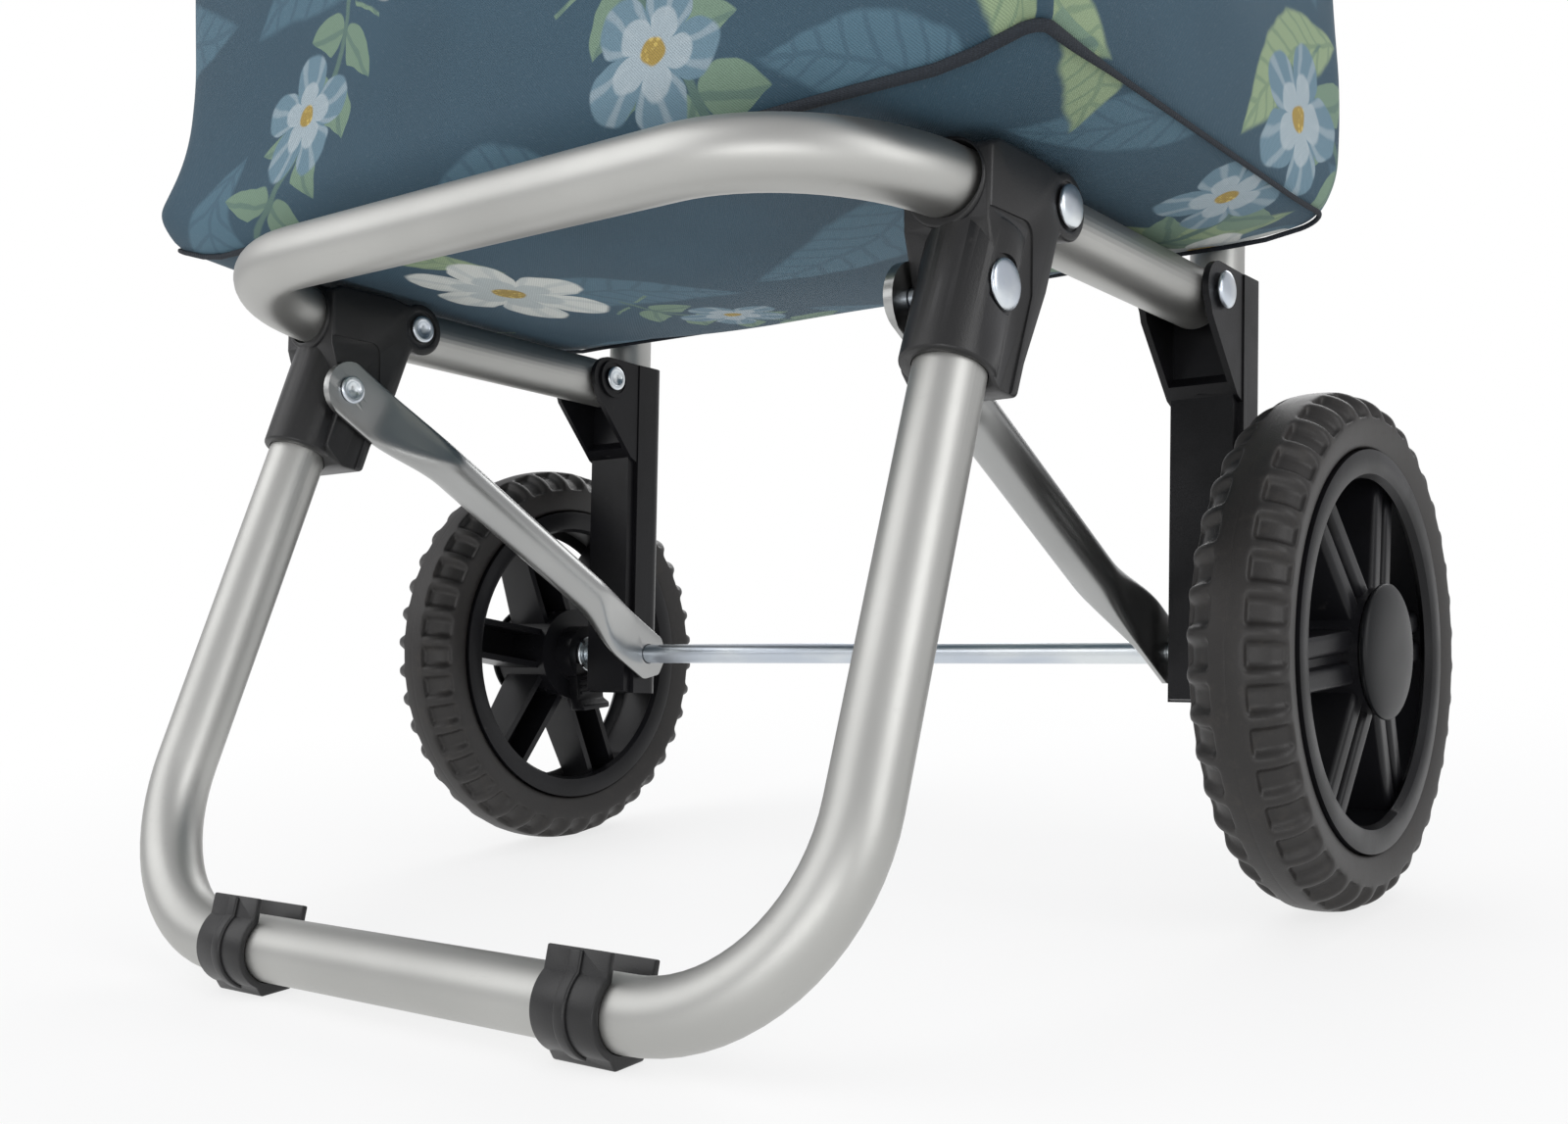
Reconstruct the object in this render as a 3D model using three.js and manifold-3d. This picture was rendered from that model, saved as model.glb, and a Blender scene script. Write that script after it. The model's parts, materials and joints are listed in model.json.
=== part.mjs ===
// A two-wheeled shopping trolley with a folding front platform.
//
// Millimetres, +Z up. The trolley faces -Y, so its left side is at -X. The origin is on the
// floor, under the middle of the object's box.
//
// The frame leans back. Its pieces are drawn in a leaning side view whose coordinates are
// (forward, up), measured from the axle, and the whole chassis is then leaned in one group.

import * as THREE from 'three';
import { mergeVertices } from 'three/addons/utils/BufferGeometryUtils.js';
import Module from 'manifold-3d';

const wasm = await Module();
wasm.setup();

// ------------------------------------------------------------------ driving dimensions

const GAP = 0.3; // clearance between two pieces that touch or slide
const LEAN = 7; // degrees that the uprights lean back

const TUBE = { radius: 10, wall: 1.2 }; // side tubes, platform loop and foot loop
const UPRIGHT = { radius: 9, wall: 1.2 }; // uprights and handle

const SIDE_X = 136.8; // middle of the legs, side tubes and connectors
const STRUT_FACE_X = 122.7; // outer face of the struts' flattened ends

// Pivots in the leaning side view: [forward, up] from the axle.
const LEG_PIVOT = [20.9, 116.6];
const EAR_PIVOT = [126, 118.5];
const STRUT_PIVOT = [160, 90];
const AXLE = [0, 0];

const LEG = {
  halfWidth: 13,
  ribHalfWidth: 11,
  ribFront: 9,
  sleeveFront: 5,
  sleeveBack: -13,
  uprightForward: -2.5,
  bottom: -17,
  top: 125,
  cheekFoot: 84.6,
  cheekNose: 2.2, // the cheeks reach this far past the boss
  bossRadius: 9,
  bossHeight: 0.7,
  socketBottom: 88,
};

const CONNECTOR = {
  halfWidth: 13.8,
  cheekThickness: 3.4,
  earRadius: 8.2,
  headRise: 11.6, // top of the head above the platform loop's axis
  headReach: 22.5, // front of the head, ahead of the loop's ends
  mouthWall: 2.2,
  sleeveRadius: 13,
  sleeveRise: 17, // the foot sleeve starts under the head, above the strut pivot
  sleeveFoot: 24, // and ends below it
  slotInset: 7.4, // the fork's slot ends behind the loop's end
  recess: 1,
  stepDrop: 7.1, // the recessed panel starts below the loop's axis
};
// Rear and lower edge of the connector's web, from the foot sleeve up to the ear:
// [forward, up] from the strut pivot.
const WEB_EDGE = [[0.5, -27.5], [-8.5, -28.5], [-12, -19], [-23, 2], [-29.5, 19]];

const PLATFORM = {
  frontForward: 212.3,
  frontUp: 121.2,
  rearForward: 144,
  rearUp: 116.6,
  splay: 3.7,
  bend: 56,
};
const FOOT = { barForward: 236.7, topSplay: 2, splay: 7.4, bend: 56, insertion: 12 };
const CLIP = {
  length: 22.4,
  sole: 3.1, // thickness under the tube
  band: 2.1, // thickness round it
  soleHalfWidth: 6.4,
  lipReach: 9.45, // outer face of each lip, from the tube's axis
  lipTop: 14.4,
  tilt: 19, // the lips tip back with the foot loop
  rib: 0.9,
  ribLength: 4,
  offset: 74,
};

const STRUT = {
  radius: 7.5,
  flatHalfWidth: 10.5,
  flatThickness: 3,
  flatLength: 14,
  neck: 36,
  endReach: 10, // from the hole to the sawn end
  endHalf: 4.4, // half of the end between its clipped corners
  clip: 6.4, // length that each clipped corner takes off
};

const RIVET = {
  radius: 3,
  headRadius: 6.4,
  headHeight: 2.3,
  headRim: 0.6,
  rolledRadius: 5,
  rolledHeight: 1.2,
  rolledLip: 1.4,
  dimple: 0.2,
};
const PIVOT_HEAD_RADIUS = 7.4; // the strut pivot's outer head is the largest

const ROD = { radius: 4, endX: 192.5 };
const COLLAR = { radius: 5.2, ridge: 0.9, length: 4, ridges: 3 };
const WASHER = { radius: 7.8, thickness: 1.4 };

const WHEEL = {
  radius: 82.5,
  x: 177.7,
  seatRadius: 63.6,
  flangeDepth: 8.8, // from the tyre's seat in to the opening
  wellDepth: 5, // from the seat in to the barrel between the flanges
  flangeLip: 2.6,
  halfWidth: 14.4,
  hubRadius: 20,
  hubWellRadius: 12.4,
  hubCollar: 4, // the hub stands out past the spokes
  spokes: 6,
  spokeHalfWidth: 8.6,
  spokeHalfDepth: 9,
  spokeWall: 2.6,
  spokeFace: 6,
  spokeChamfer: 1.6,
  spokeGroove: 1.6, // half width of the groove between a spoke's two ridges
  grooveDepth: 2,
  turnRight: 30, // how far each wheel stands turned, in degrees
  turnLeft: 17,
  boreRadius: 10, // round the rod's end, under the cap
  boreDepth: 6,
};
const TYRE = {
  halfWidth: 15.2,
  lugs: 40,
  pocketDepth: 2.4,
  pocketLength: 7,
  bandHalfWidth: 6.5,
  bandCrown: 0.4,
  beadInset: 2, // the bead is narrower than the side wall
  shoulder: [3, 4.5], // in from the tread, and in from the side wall
  sideWallDrop: 8.5,
};
const HUB_CAP = { radius: 21.5, height: 7, collar: 3, spigot: 2 };
const LATCH = { halfWidth: 8, near: 9, far: 24.5, thickness: 5, lip: 3.4, hook: 2.4, travel: 3, room: 5 };

const HANDLE = { bendUp: 800, bendBack: 35, bendRadius: 90, reach: 125, cornerRadius: 45, gripLength: 150 };
const GRIP = { radius: 13.6, ribs: 5, ribHeight: 1.4 };

const BAG = {
  back: 8.9,
  front: 203,
  baseHalfWidth: 190,
  waistHalfWidth: 182,
  waistUp: 178,
  cornerRadius: 26,
  wall: 2.5,
  seatBack: 126.9, // height of the base where it rests on the tubes, at the back
  seatFront: 131.7, // and at the front
  edgeRise: 12.5, // the base turns up past the tubes
  sag: 9, // the base hangs between the tubes
  splitUp: 275, // the skirt below folds up with the platform
  mouthUp: 690,
};
const LID = { thickness: 3, skirt: 38, skirtRun: 30, crown: 12 };
const LOOP = { wall: 1.8, height: 34, up: 610 };

const radians = THREE.MathUtils.degToRad;

// ------------------------------------------------------------------ materials

const finish = (color, roughness, metalness) => (
  new THREE.MeshStandardMaterial({ color, roughness, metalness })
);
const satinTube = finish(0xb9b6b0, 0.34, 1);
const zinc = finish(0xc3c8cc, 0.3, 1);
const blackPlastic = finish(0x232324, 0.55, 0);
const capPlastic = finish(0x3c3c3f, 0.45, 0);
const rubber = finish(0x2b2927, 0.8, 0);
const gripFoam = finish(0x1d1d1e, 0.9, 0);
const bagFabric = finish(0x3e5466, 0.9, 0);

// ------------------------------------------------------------------ solids

/** Makes a closed solid from a geometry, with its faces pointing out. */
function solid(geometry) {
  const bare = geometry.clone();
  bare.deleteAttribute('normal');
  bare.deleteAttribute('uv');
  const merged = mergeVertices(bare, 1e-4);
  const vertProperties = new Float32Array(merged.attributes.position.array);
  const triVerts = new Uint32Array(merged.index.array);
  if (enclosedVolume(vertProperties, triVerts) < 0) {
    for (let i = 0; i < triVerts.length; i += 3) {
      [triVerts[i], triVerts[i + 1]] = [triVerts[i + 1], triVerts[i]];
    }
  }
  return new wasm.Manifold(new wasm.Mesh({ numProp: 3, vertProperties, triVerts }));
}

/** Signed volume of a closed triangle mesh: negative where its faces point in. */
function enclosedVolume(points, triangles) {
  const corner = (i) => new THREE.Vector3().fromArray(points, triangles[i] * 3);
  let volume = 0;
  for (let i = 0; i < triangles.length; i += 3) {
    volume += corner(i).dot(corner(i + 1).cross(corner(i + 2))) / 6;
  }
  return volume;
}

/** Joins solids or geometries into one solid. */
function join(...pieces) {
  return pieces.map(asSolid).reduce((whole, piece) => whole.add(piece));
}

/** Cuts every later piece out of the first. */
function cut(body, ...tools) {
  return tools.map(asSolid).reduce((whole, tool) => whole.subtract(tool), asSolid(body));
}

function asSolid(piece) {
  return piece.isBufferGeometry ? solid(piece) : piece;
}

function geometryOf(piece) {
  const { vertProperties, triVerts, numProp } = asSolid(piece).getMesh();
  const positions = new Float32Array((vertProperties.length / numProp) * 3);
  for (let i = 0; i < positions.length / 3; i += 1) {
    positions.set(vertProperties.slice(i * numProp, i * numProp + 3), i * 3);
  }
  const geometry = new THREE.BufferGeometry();
  geometry.setAttribute('position', new THREE.BufferAttribute(positions, 3));
  geometry.setIndex(new THREE.BufferAttribute(new Uint32Array(triVerts), 1));
  geometry.computeVertexNormals();
  return geometry;
}

/** The mirror image of a geometry across the plane x = 0. */
function mirrored(geometry) {
  const copy = geometry.clone().scale(-1, 1, 1);
  const order = copy.index.array;
  for (let i = 0; i < order.length; i += 3) {
    [order[i], order[i + 1]] = [order[i + 1], order[i]];
  }
  copy.computeVertexNormals();
  return copy;
}

function mesh(name, piece, material) {
  const node = new THREE.Mesh(piece.isBufferGeometry ? piece : geometryOf(piece), material);
  node.name = name;
  return node;
}

/** The right piece as drawn and its mirror image on the left. */
function pair(name, piece, material) {
  const right = geometryOf(piece);
  return [mesh(`${name}_right`, right, material), mesh(`${name}_left`, mirrored(right), material)];
}

// ------------------------------------------------------------------ shapes and sweeps

/** A side-view point as a point of the leaning chassis. */
const at = (x, [forward, up]) => new THREE.Vector3(x, -forward, up);

/** An outline through side-view points. */
const outline = (points) => new THREE.Shape(points.map(([a, b]) => new THREE.Vector2(a, b)));

/** A plate with a side-view outline, from one x to another. */
function sidePlate(shape, fromX, toX, curveSegments = 4) {
  const depth = toX - fromX;
  const plate = new THREE.ExtrudeGeometry(shape, { depth, bevelEnabled: false, curveSegments });
  const basis = new THREE.Matrix4().makeBasis(
    new THREE.Vector3(0, -1, 0),
    new THREE.Vector3(0, 0, 1),
    new THREE.Vector3(-1, 0, 0),
  );
  return plate.applyMatrix4(basis).translate(toX, 0, 0);
}

/** A prism whose outline is drawn in plan as (x, forward), from one height to another. */
function planPrism(shape, fromUp, toUp, curveSegments = 4) {
  const depth = toUp - fromUp;
  const prism = new THREE.ExtrudeGeometry(shape, { depth, bevelEnabled: false, curveSegments });
  const flipped = new THREE.Matrix4().makeScale(1, -1, 1);
  return prism.applyMatrix4(flipped).translate(0, 0, fromUp);
}

/** A round bar along x through a side-view point. */
function bar(radius, fromX, toX, point, sides = 16) {
  const turned = new THREE.CylinderGeometry(radius, radius, toX - fromX, sides).rotateZ(Math.PI / 2);
  return turned.translate((fromX + toX) / 2, -point[0], point[1]);
}

/** A profile of [radius, x] points turned about the x axis. */
function turned(profile, sides) {
  const points = profile.map(([radius, x]) => new THREE.Vector2(radius, x));
  return new THREE.LatheGeometry(points, sides).rotateZ(-Math.PI / 2);
}

/** A round bar between two points. */
function rodBetween(start, end, radius, sides = 20) {
  const along = new THREE.Vector3().subVectors(end, start);
  const rod = new THREE.CylinderGeometry(radius, radius, along.length(), sides);
  const up = new THREE.Vector3(0, 1, 0);
  const turn = new THREE.Quaternion().setFromUnitVectors(up, along.clone().normalize());
  const middle = start.clone().add(end).multiplyScalar(0.5);
  return rod.applyQuaternion(turn).translate(middle.x, middle.y, middle.z);
}

/** A path of straight runs joined by round bends, with a station only where the tube needs one. */
class BentPath extends THREE.Curve {
  constructor(corners, bendRadii, stepDegrees = 18) {
    super();
    const runs = corners.slice(1).map((corner, i) => (
      new THREE.Vector3().subVectors(corner, corners[i]).normalize()
    ));
    this.stations = [{ point: corners[0], tangent: runs[0] }];
    for (let i = 1; i < corners.length - 1; i += 1) {
      this.addBend(corners[i], runs[i - 1], runs[i], bendRadii[i - 1], radians(stepDegrees));
    }
    this.stations.push({ point: corners.at(-1), tangent: runs.at(-1) });
  }

  addBend(corner, into, out, radius, step) {
    const angle = into.angleTo(out);
    const inward = out.clone().addScaledVector(into, -Math.cos(angle)).normalize();
    const start = corner.clone().addScaledVector(into, -radius * Math.tan(angle / 2));
    const steps = Math.ceil(angle / step);
    for (let i = 0; i <= steps; i += 1) {
      const turn = (angle * i) / steps;
      const point = start.clone().addScaledVector(into, radius * Math.sin(turn));
      point.addScaledVector(inward, radius * (1 - Math.cos(turn)));
      const tangent = into.clone().multiplyScalar(Math.cos(turn)).addScaledVector(inward, Math.sin(turn));
      this.stations.push({ point, tangent: tangent.normalize() });
    }
  }

  station(t) {
    return this.stations[Math.round(t * (this.stations.length - 1))];
  }

  getPointAt(t) {
    return this.station(t).point.clone();
  }

  getTangentAt(t) {
    return this.station(t).tangent.clone();
  }
}

/** A hollow tube along a bent path. */
function tubeAlong(path, { radius, wall }) {
  const section = new THREE.Shape().absarc(0, 0, radius, 0, 2 * Math.PI, false);
  section.holes.push(new THREE.Path().absarc(0, 0, radius - wall, 0, 2 * Math.PI, true));
  return sweep(section, path);
}

/** The round space that a tube needs along a bent path, with clearance. */
function boreAlong(path, { radius }) {
  return sweep(new THREE.Shape().absarc(0, 0, radius + GAP, 0, 2 * Math.PI, false), path);
}

function sweep(section, path) {
  const steps = path.stations.length - 1;
  const settings = { steps, extrudePath: path, bevelEnabled: false, curveSegments: 7 };
  return new THREE.ExtrudeGeometry(section, settings);
}

/** A skin over rings of equal count: round again to the first ring, or closed at both ends. */
function loft(rings, roundAgain = false) {
  const count = rings[0].length;
  const points = rings.flat();
  const triangles = [];
  const quad = (a, b, i) => {
    const j = (i + 1) % count;
    triangles.push(a + i, a + j, b + j, a + i, b + j, b + i);
  };
  const spans = roundAgain ? rings.length : rings.length - 1;
  for (let k = 0; k < spans; k += 1) {
    for (let i = 0; i < count; i += 1) {
      quad(k * count, ((k + 1) % rings.length) * count, i);
    }
  }
  if (!roundAgain) {
    addFan(points, triangles, 0, count, true);
    addFan(points, triangles, (rings.length - 1) * count, count, false);
  }
  const geometry = new THREE.BufferGeometry().setFromPoints(points);
  geometry.setIndex(triangles);
  return geometry;
}

function addFan(points, triangles, first, count, flipped) {
  const centre = new THREE.Vector3();
  for (let i = 0; i < count; i += 1) centre.addScaledVector(points[first + i], 1 / count);
  const hub = points.push(centre) - 1;
  for (let i = 0; i < count; i += 1) {
    const next = first + ((i + 1) % count);
    triangles.push(...(flipped ? [hub, next, first + i] : [hub, first + i, next]));
  }
}

/** Points of a rounded rectangle in plan, evenly spread round its corners and sides. */
function roundedRing(halfWidth, back, front, cornerRadius, up, perCorner = 3, perSide = 4) {
  const points = [];
  const cornerPoint = (x, forward, degrees) => {
    const angle = radians(degrees);
    const ahead = forward + cornerRadius * Math.sin(angle);
    return new THREE.Vector3(x + cornerRadius * Math.cos(angle), -ahead, up);
  };
  const corners = [
    [halfWidth - cornerRadius, front - cornerRadius, 0],
    [cornerRadius - halfWidth, front - cornerRadius, 90],
    [cornerRadius - halfWidth, back + cornerRadius, 180],
    [halfWidth - cornerRadius, back + cornerRadius, 270],
  ];
  corners.forEach(([x, forward, start], corner) => {
    for (let i = 0; i <= perCorner; i += 1) {
      points.push(cornerPoint(x, forward, start + (90 * i) / perCorner));
    }
    const last = points.at(-1);
    const next = cornerPoint(...corners[(corner + 1) % corners.length]);
    for (let i = 1; i < perSide; i += 1) {
      points.push(last.clone().lerp(next, i / perSide));
    }
  });
  return points;
}

// ------------------------------------------------------------------ layout

/** A floor-frame point [forward, height] as a point of the leaning side view. */
function leaning([forward, height]) {
  const lean = radians(LEAN);
  const rise = height - WHEEL.radius;
  return [forward * Math.cos(lean) + rise * Math.sin(lean), rise * Math.cos(lean) - forward * Math.sin(lean)];
}

const footBarHeight = TUBE.radius + GAP + CLIP.sole;
const footBar = leaning([FOOT.barForward, footBarHeight]);
const footRun = new THREE.Vector2(footBar[0] - STRUT_PIVOT[0], footBar[1] - STRUT_PIVOT[1]).normalize();
const legInnerX = SIDE_X - LEG.halfWidth;
const legOuterX = SIDE_X + LEG.halfWidth;
const connectorInnerX = SIDE_X - CONNECTOR.halfWidth;
const connectorOuterX = SIDE_X + CONNECTOR.halfWidth;

/** A point on the foot loop's side run, so far below the strut pivot. */
function alongFoot(distance) {
  return [STRUT_PIVOT[0] + footRun.x * distance, STRUT_PIVOT[1] + footRun.y * distance];
}

// ------------------------------------------------------------------ rigid frame

/** Moulded leg: a D-shaped sleeve for the upright, a front rib, and cheeks round the side tube. */
function makeLeg() {
  const { halfWidth, sleeveFront, sleeveBack, ribFront, bottom, top, cheekFoot, cheekNose, bossRadius } = LEG;
  const root = sleeveFront - 2;
  const shoulder = LEG.uprightForward - 3;
  const d = new THREE.Shape();
  d.moveTo(halfWidth, sleeveFront);
  d.lineTo(halfWidth, shoulder);
  d.bezierCurveTo(halfWidth, sleeveBack, halfWidth - 4, sleeveBack, 0, sleeveBack);
  d.bezierCurveTo(4 - halfWidth, sleeveBack, -halfWidth, sleeveBack, -halfWidth, shoulder);
  d.lineTo(-halfWidth, sleeveFront);
  const sleeve = planPrism(d, bottom, top).translate(SIDE_X, 0, 0);
  const rib = sidePlate(
    outline([[root, bottom], [ribFront, bottom + 1], [ribFront, cheekFoot], [root, cheekFoot]]),
    SIDE_X - LEG.ribHalfWidth,
    SIDE_X + LEG.ribHalfWidth,
  );

  const [pivotForward, pivotUp] = LEG_PIVOT;
  const nose = pivotForward + cheekNose;
  const cheek = outline([
    [root, cheekFoot - 3],
    [ribFront, cheekFoot],
    [pivotForward + bossRadius, pivotUp - bossRadius],
    [nose + bossRadius, pivotUp - bossRadius / 2],
  ]);
  cheek.absarc(nose, pivotUp, bossRadius, 0, Math.PI / 2, false);
  cheek.lineTo(root, top);
  const cheeks = sidePlate(cheek, legInnerX, legOuterX);
  const boss = bar(bossRadius - 1, legInnerX - LEG.bossHeight, legInnerX + 1, LEG_PIVOT);

  const channelBack = pivotForward - Math.hypot(TUBE.radius, sideTubeOverhang) - GAP;
  const channelFront = nose + 2 * bossRadius;
  const channel = sidePlate(
    outline([
      [channelBack, cheekFoot + 1],
      [channelFront, cheekFoot + 1],
      [channelFront, top + TUBE.radius],
      [channelBack, top + TUBE.radius],
    ]),
    SIDE_X - TUBE.radius - GAP,
    SIDE_X + TUBE.radius + GAP,
  );
  const socket = rodBetween(
    at(SIDE_X, [LEG.uprightForward, LEG.socketBottom]),
    at(SIDE_X, [LEG.uprightForward, top + TUBE.radius]),
    UPRIGHT.radius + GAP,
  );
  const hole = (radius, point) => bar(radius + GAP, legInnerX - halfWidth, legOuterX + halfWidth, point);
  return cut(
    join(sleeve, rib, cheeks, boss),
    channel,
    socket,
    hole(ROD.radius, AXLE),
    hole(RIVET.radius, LEG_PIVOT),
  );
}

/** Uprights and handle: one bent tube, tipped back at the top. */
function makeHandle() {
  const back = radians(HANDLE.bendBack);
  const top = [
    LEG.uprightForward - HANDLE.reach * Math.sin(back),
    HANDLE.bendUp + HANDLE.reach * Math.cos(back),
  ];
  const side = (sign) => [
    at(sign * SIDE_X, [LEG.uprightForward, LEG.socketBottom + GAP]),
    at(sign * SIDE_X, [LEG.uprightForward, HANDLE.bendUp]),
    at(sign * SIDE_X, top),
  ];
  const corners = [...side(1), ...side(-1).reverse()];
  const radii = [HANDLE.bendRadius, HANDLE.cornerRadius, HANDLE.cornerRadius, HANDLE.bendRadius];
  return { tube: tubeAlong(new BentPath(corners, radii), UPRIGHT), top };
}

/** Soft grip with finger ribs on the handle's cross run. */
function makeGrip(top) {
  const half = HANDLE.gripLength / 2;
  const inner = UPRIGHT.radius + GAP;
  const profile = [[inner, -half], [GRIP.radius - 2, -half], [GRIP.radius, -half + 2]];
  const pitch = (HANDLE.gripLength - 24) / GRIP.ribs;
  for (let i = 0; i < GRIP.ribs; i += 1) {
    const x = -half + 12 + i * pitch;
    profile.push([GRIP.radius, x + pitch * 0.1], [GRIP.radius - GRIP.ribHeight, x + pitch * 0.3]);
    profile.push([GRIP.radius - GRIP.ribHeight, x + pitch * 0.7], [GRIP.radius, x + pitch * 0.9]);
  }
  profile.push([GRIP.radius, half - 2], [GRIP.radius - 2, half], [inner, half], [inner, -half]);
  return turned(profile, 14).translate(0, -top[0], top[1]);
}

const sideTubeOverhang = 6;

/** Side tube from the leg to the connector, with a hole for the pin near each end. */
function makeSideTube() {
  const along = new THREE.Vector2(EAR_PIVOT[0] - LEG_PIVOT[0], EAR_PIVOT[1] - LEG_PIVOT[1]).normalize();
  const end = (pivot, sign) => at(SIDE_X, [
    pivot[0] + along.x * sideTubeOverhang * sign,
    pivot[1] + along.y * sideTubeOverhang * sign,
  ]);
  const tube = tubeAlong(new BentPath([end(LEG_PIVOT, -1), end(EAR_PIVOT, 1)], []), TUBE);
  const holes = [LEG_PIVOT, EAR_PIVOT].map((pivot) => (
    bar(RIVET.radius + GAP, SIDE_X - 1.5 * TUBE.radius, SIDE_X + 1.5 * TUBE.radius, pivot, 12)
  ));
  return cut(tube, ...holes);
}

/** A rivet along x: a domed head outside and a rolled end inside. */
function makeRivet(point, innerX, outerX, headRadius, rolled = true) {
  const profile = [
    ...(rolled ? rolledEnd(innerX) : [[0, innerX], [RIVET.radius, innerX]]),
    [RIVET.radius, outerX],
    [headRadius, outerX],
    [headRadius, outerX + RIVET.headRim],
    [headRadius * 0.75, outerX + RIVET.headHeight * 0.8],
    [0, outerX + RIVET.headHeight],
  ];
  return turned(profile, 14).translate(0, -point[0], point[1]);
}

/** Profile of a rivet's rolled end, from its dimple out to the shank. */
function rolledEnd(face) {
  const { radius, rolledRadius, rolledHeight, rolledLip, dimple } = RIVET;
  return [
    [0, face - dimple],
    [radius - rolledLip, face - dimple],
    [rolledRadius - rolledLip, face - rolledHeight],
    [rolledRadius, face - rolledHeight / 2],
    [rolledRadius - GAP, face],
    [radius, face],
  ];
}

// ------------------------------------------------------------------ folding platform

/** The path of a U between the two sides, from its rear or upper ends to its cross bar. */
function loopPath(end, cross, endSplay, splay, bend, extension = 0) {
  const run = new THREE.Vector2(end[0] - cross[0], end[1] - cross[1]).normalize().multiplyScalar(extension);
  const side = (sign) => [
    at(sign * (SIDE_X + endSplay), [end[0] + run.x, end[1] + run.y]),
    at(sign * (SIDE_X + splay), cross),
  ];
  return new BentPath([...side(1), ...side(-1).reverse()], [bend, bend]);
}

/** The platform loop's path: a U that the bag's base rests on. */
function platformPath(extension) {
  const { rearForward, rearUp, frontForward, frontUp, splay, bend } = PLATFORM;
  return loopPath([rearForward, rearUp], [frontForward, frontUp], 0, splay, bend, extension);
}

/** The foot loop's path: a U that drops from the connectors to the floor. */
function footPath(extension) {
  return loopPath(alongFoot(-FOOT.insertion), footBar, FOOT.topSplay, FOOT.splay, FOOT.bend, extension);
}

const makePlatformLoop = () => tubeAlong(platformPath(), TUBE);

function makeFootLoop() {
  const reach = SIDE_X + 2 * TUBE.radius;
  return cut(tubeAlong(footPath(), TUBE), bar(RIVET.radius + GAP, -reach, reach, STRUT_PIVOT, 12));
}

/** Connector: one moulding that holds both loops and carries the side tube in a fork. */
function makeConnector() {
  const { earRadius, cheekThickness, mouthWall, recess, sleeveRadius } = CONNECTOR;
  const [earForward, earUp] = EAR_PIVOT;
  const [pivotForward, pivotUp] = STRUT_PIVOT;
  const loopEnd = PLATFORM.rearForward;
  const loopUp = PLATFORM.rearUp;
  const headTop = loopUp + CONNECTOR.headRise;
  const headFront = loopEnd + CONNECTOR.headReach;
  const headBack = earForward + earRadius + GAP;
  const ear = bar(earRadius, connectorInnerX, connectorOuterX, EAR_PIVOT);
  const web = outline([
    [headFront, headTop],
    [headFront, loopUp - TUBE.radius],
    alongFoot(2),
    alongFoot(CONNECTOR.sleeveFoot - 2),
    ...WEB_EDGE.map(([forward, up]) => [pivotForward + forward, pivotUp + up]),
    [earForward + 2, earUp - earRadius],
    [earForward + 2, earUp + earRadius],
    [headBack, headTop],
  ]);
  const plate = sidePlate(web, connectorInnerX, connectorOuterX);
  const sleeveX = SIDE_X + FOOT.topSplay;
  const footSleeve = rodBetween(
    at(sleeveX, alongFoot(-CONNECTOR.sleeveRise)),
    at(sleeveX, alongFoot(CONNECTOR.sleeveFoot)),
    sleeveRadius,
  );
  const mouth = rodBetween(
    at(SIDE_X, [loopEnd + mouthWall, loopUp]),
    at(SIDE_X, [headFront + 1, loopUp + 1]),
    TUBE.radius + mouthWall,
  );

  const stepUp = loopUp - CONNECTOR.stepDrop;
  const stepBack = pivotForward - sleeveRadius - 2;
  const panelFoot = pivotUp - 2 * sleeveRadius;
  const panelFront = headFront + sleeveRadius;
  const panel = outline([
    [stepBack, panelFoot + 2 * sleeveRadius],
    [stepBack, stepUp],
    [panelFront, stepUp],
    [panelFront, panelFoot - sleeveRadius],
    [pivotForward - recess, panelFoot - sleeveRadius],
  ]);
  const blank = cut(
    join(plate, ear, mouth),
    sidePlate(panel, connectorInnerX - recess, connectorInnerX + recess),
    sidePlate(panel, connectorOuterX - recess, connectorOuterX + recess),
  );

  const slotBack = earForward - 2 * sleeveRadius;
  const slotFront = loopEnd - CONNECTOR.slotInset;
  const fork = outline([
    [slotBack, panelFoot - sleeveRadius],
    [slotFront + sleeveRadius - mouthWall * 2, panelFoot - sleeveRadius],
    [slotFront, stepUp + mouthWall],
    [slotFront, headTop + sleeveRadius],
    [slotBack, headTop + sleeveRadius],
  ]);
  const slotX = [connectorInnerX + cheekThickness, connectorOuterX - cheekThickness];
  const reach = [connectorInnerX - sleeveRadius, connectorOuterX + sleeveRadius];
  return cut(
    join(blank, footSleeve),
    boreAlong(platformPath(GAP), TUBE),
    boreAlong(footPath(GAP), TUBE),
    sidePlate(fork, ...slotX),
    bar(Math.hypot(TUBE.radius, sideTubeOverhang) + GAP, ...slotX, EAR_PIVOT),
    bar(RIVET.radius + GAP, ...reach, EAR_PIVOT, 12),
    bar(RIVET.radius + GAP, ...reach, STRUT_PIVOT, 12),
    bar(PIVOT_HEAD_RADIUS + 2 * GAP, connectorOuterX, reach[1], STRUT_PIVOT, 20),
  );
}

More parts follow.
